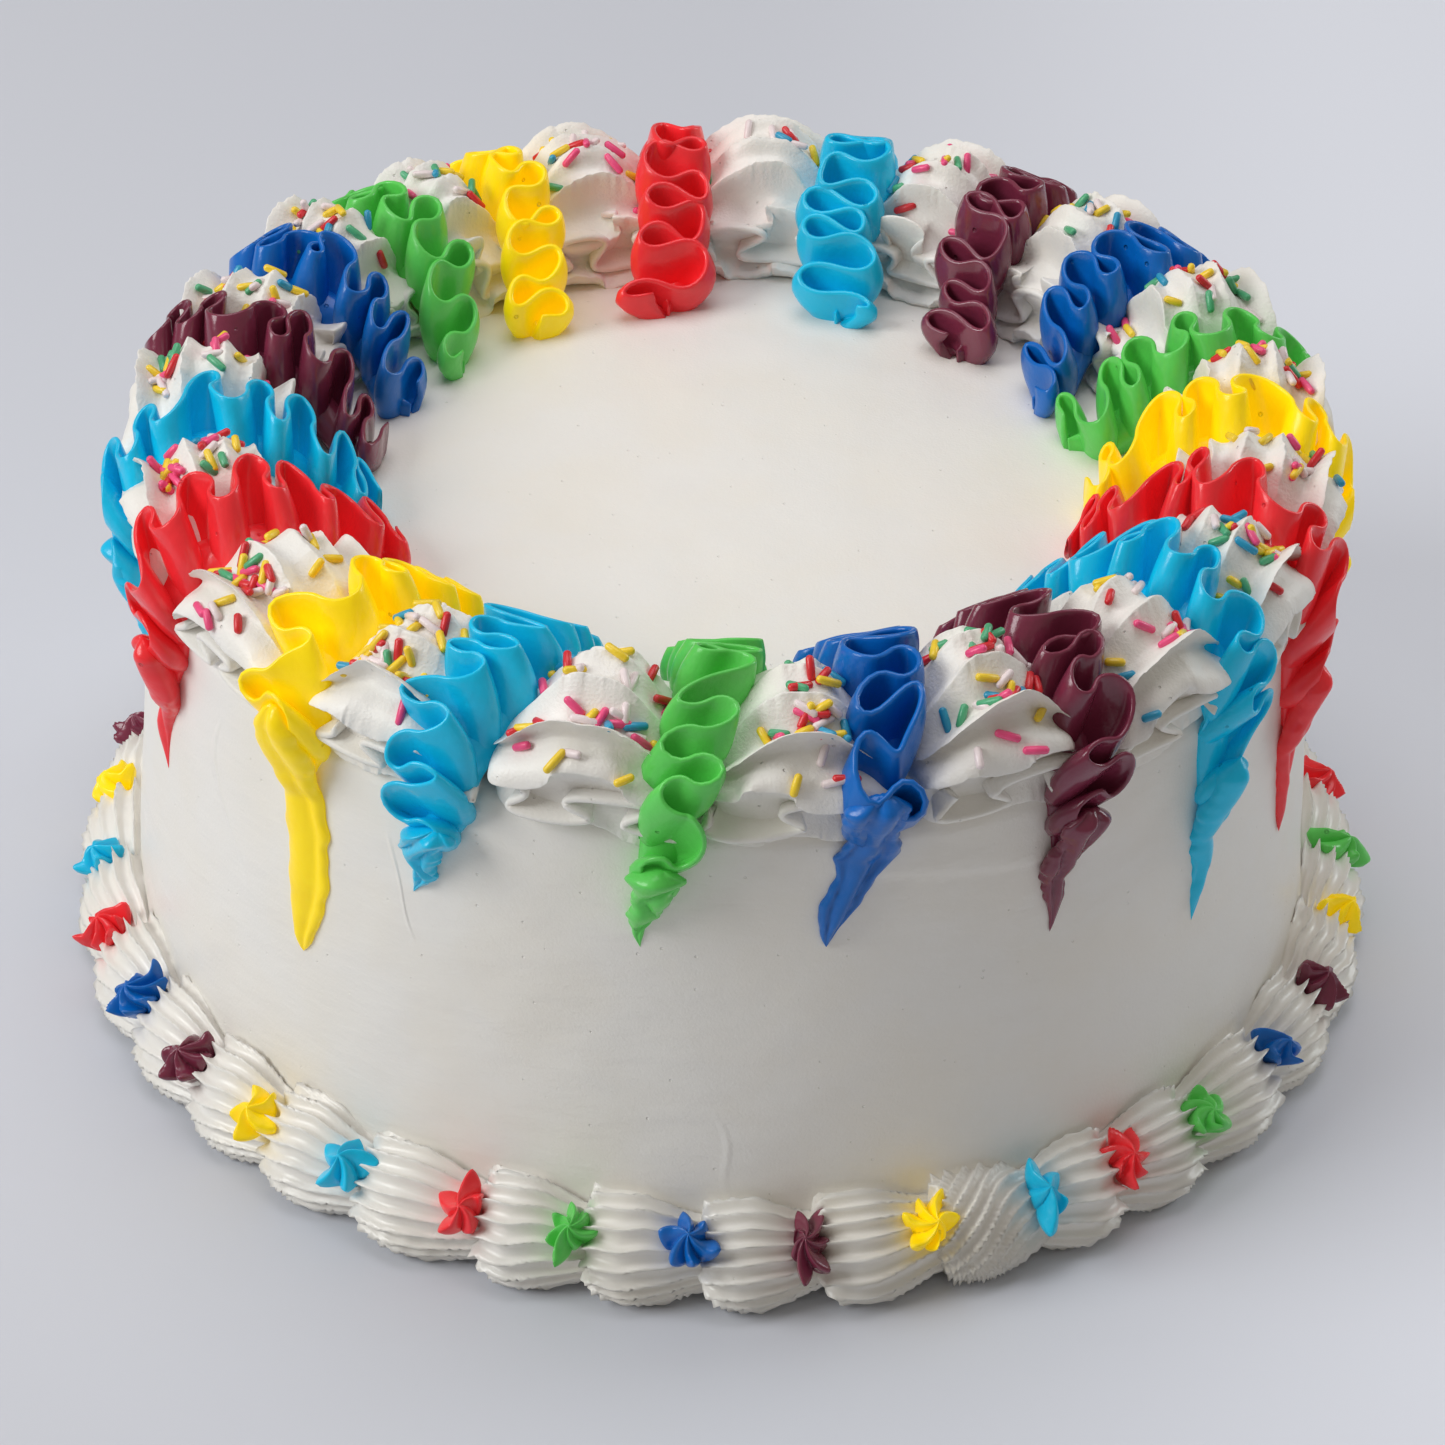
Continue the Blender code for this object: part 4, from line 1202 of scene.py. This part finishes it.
class CAKE_OT_sprinkles(bpy.types.Operator):
    """Scatters the sugar sprinkles on the swirls, one piece for each colour"""

    bl_idname = "cake.sprinkles"
    bl_label = "Sprinkles"

    def execute(self, context):
        rng = np.random.default_rng(77)
        spots, outwards = sprinkle_spots(shape().sprinkles, rng)
        count = len(spots)
        sideways = unit(np.cross(outwards, unit(rng.normal(size=(count, 3)))))
        axes = unit(sideways + rng.uniform(-0.35, 0.45, (count, 1)) * outwards)
        lift = SPRINKLE_RADIUS * rng.uniform(0.4, 1.1, (count, 1))
        lengths = SPRINKLE_LENGTH * rng.uniform(0.72, 1.04, count)
        kind = rng.choice(len(SPRINKLE_KINDS), count, p=[share for _, share in SPRINKLE_KINDS.values()])
        centres = spots + lift * outwards
        for number, (name, (colour, _)) in enumerate(SPRINKLE_KINDS.items()):
            mine = kind == number
            shells = strands(centres[mine], axes[mine], lengths[mine])
            add_piece("sprinkles_" + name, shells, sugar(name + " sugar", colour), "sprinkle_" + name)
        return {"FINISHED"}


def placed(place, *axes):
    """The matrix that puts a thing at a place with its x, y and z turned to these axes."""
    rows = [(*row, 0.0) for row in np.stack(axes, axis=1)]
    return Matrix.Translation(place) @ Matrix(rows + [(0.0, 0.0, 0.0, 1.0)])


def aim(thing, place, target):
    """Puts a light at a place and turns it to a target."""
    forward = unit(np.array(target, float) - np.array(place, float))
    right = unit(np.cross(forward, (0.0, 0.0, 1.0)))
    up = np.cross(right, forward)
    thing.matrix_world = placed(place, right, up, -forward)


def add_light(name, place, size, power, colour):
    """A round soft light that looks at the cake."""
    lamp = bpy.data.lights.new(name, "AREA")
    lamp.shape = "DISK"
    lamp.size = size
    lamp.energy = power
    lamp.color = colour
    thing = bpy.data.objects.new(name, lamp)
    bpy.context.scene.collection.objects.link(thing)
    aim(thing, place, LIGHT_TARGET)


def add_camera():
    """The camera of the picture, turned by yaw, then down by pitch, then rolled."""
    yaw, pitch, roll = (math.radians(value) for value in (CAMERA_YAW, CAMERA_PITCH, CAMERA_ROLL))
    flat = np.array([math.sin(yaw), math.cos(yaw), 0.0])
    forward = math.cos(pitch) * flat - math.sin(pitch) * np.array([0.0, 0.0, 1.0])
    right = np.array([math.cos(yaw), -math.sin(yaw), 0.0])
    up = np.cross(right, forward)
    camera_x = math.cos(roll) * right + math.sin(roll) * up
    camera_y = -math.sin(roll) * right + math.cos(roll) * up
    lens = bpy.data.cameras.new("camera")
    lens.sensor_width = SENSOR
    lens.lens = FOCAL_PIXELS * SENSOR / FRAME_PIXELS
    lens.clip_start = 0.05
    lens.clip_end = 20.0
    camera = bpy.data.objects.new("camera", lens)
    bpy.context.scene.collection.objects.link(camera)
    camera.matrix_world = placed(CAMERA_PLACE, camera_x, camera_y, -forward)
    bpy.context.scene.camera = camera


class CAKE_OT_stage(bpy.types.Operator):
    """Sets up the floor, the soft lights and the camera"""

    bl_idname = "cake.stage"
    bl_label = "Stage"

    def execute(self, context):
        span = np.linspace(-FLOOR_REACH, FLOOR_REACH, 9)
        grid_x, grid_y = np.meshgrid(span, span, indexing="ij")
        mesh = bpy.data.meshes.new("floor")
        points = np.stack([grid_x, grid_y, np.full_like(grid_x, -FLOOR_GAP)], axis=-1).reshape(-1, 3)
        corner = np.arange(len(points)).reshape(grid_x.shape)
        faces = np.stack([corner[:-1, :-1], corner[1:, :-1], corner[1:, 1:], corner[:-1, 1:]], axis=-1)
        mesh.from_pydata(points.tolist(), [], faces.reshape(-1, 4).tolist())
        mesh.materials.append(floor_finish(tuple(colours().floor)))
        floor = bpy.data.objects.new("floor", mesh)
        context.scene.collection.objects.link(floor)
        for name, light in LIGHTS.items():
            add_light(name, *light)
        world = bpy.data.worlds.new("studio")
        world.use_nodes = True
        background = world.node_tree.nodes["Background"]
        background.inputs["Color"].default_value = (*ROOM_COLOUR, 1.0)
        background.inputs["Strength"].default_value = ROOM_STRENGTH
        context.scene.world = world
        context.scene.view_settings.view_transform = "Standard"
        add_camera()
        return {"FINISHED"}


class CAKE_PT_panel(bpy.types.Panel):
    """Shows the cake's sizes and colours, and a button for each step"""

    bl_label = "Cake"
    bl_idname = "CAKE_PT_panel"
    bl_space_type = "VIEW_3D"
    bl_region_type = "UI"
    bl_category = "Cake"

    def draw(self, context):
        layout = self.layout
        for group in (context.scene.cake_shape, context.scene.cake_colours):
            for name in group.__annotations__:
                layout.prop(group, name)
        for step in STEPS:
            layout.operator(step.bl_idname)


STEPS = (
    CAKE_OT_body,
    CAKE_OT_foot_shells,
    CAKE_OT_stars,
    CAKE_OT_swirls,
    CAKE_OT_ribbons,
    CAKE_OT_sprinkles,
    CAKE_OT_stage,
)
CLASSES = (CakeShape, CakeColours, *STEPS, CAKE_PT_panel)


def register():
    for kind in CLASSES:
        bpy.utils.register_class(kind)
    bpy.types.Scene.cake_shape = bpy.props.PointerProperty(type=CakeShape)
    bpy.types.Scene.cake_colours = bpy.props.PointerProperty(type=CakeColours)


def unregister():
    del bpy.types.Scene.cake_colours
    del bpy.types.Scene.cake_shape
    for kind in reversed(CLASSES):
        bpy.utils.unregister_class(kind)


def main():
    register()
    for step in STEPS:
        group, name = step.bl_idname.split(".")
        getattr(getattr(bpy.ops, group), name)()


if __name__ == "__main__":
    main()
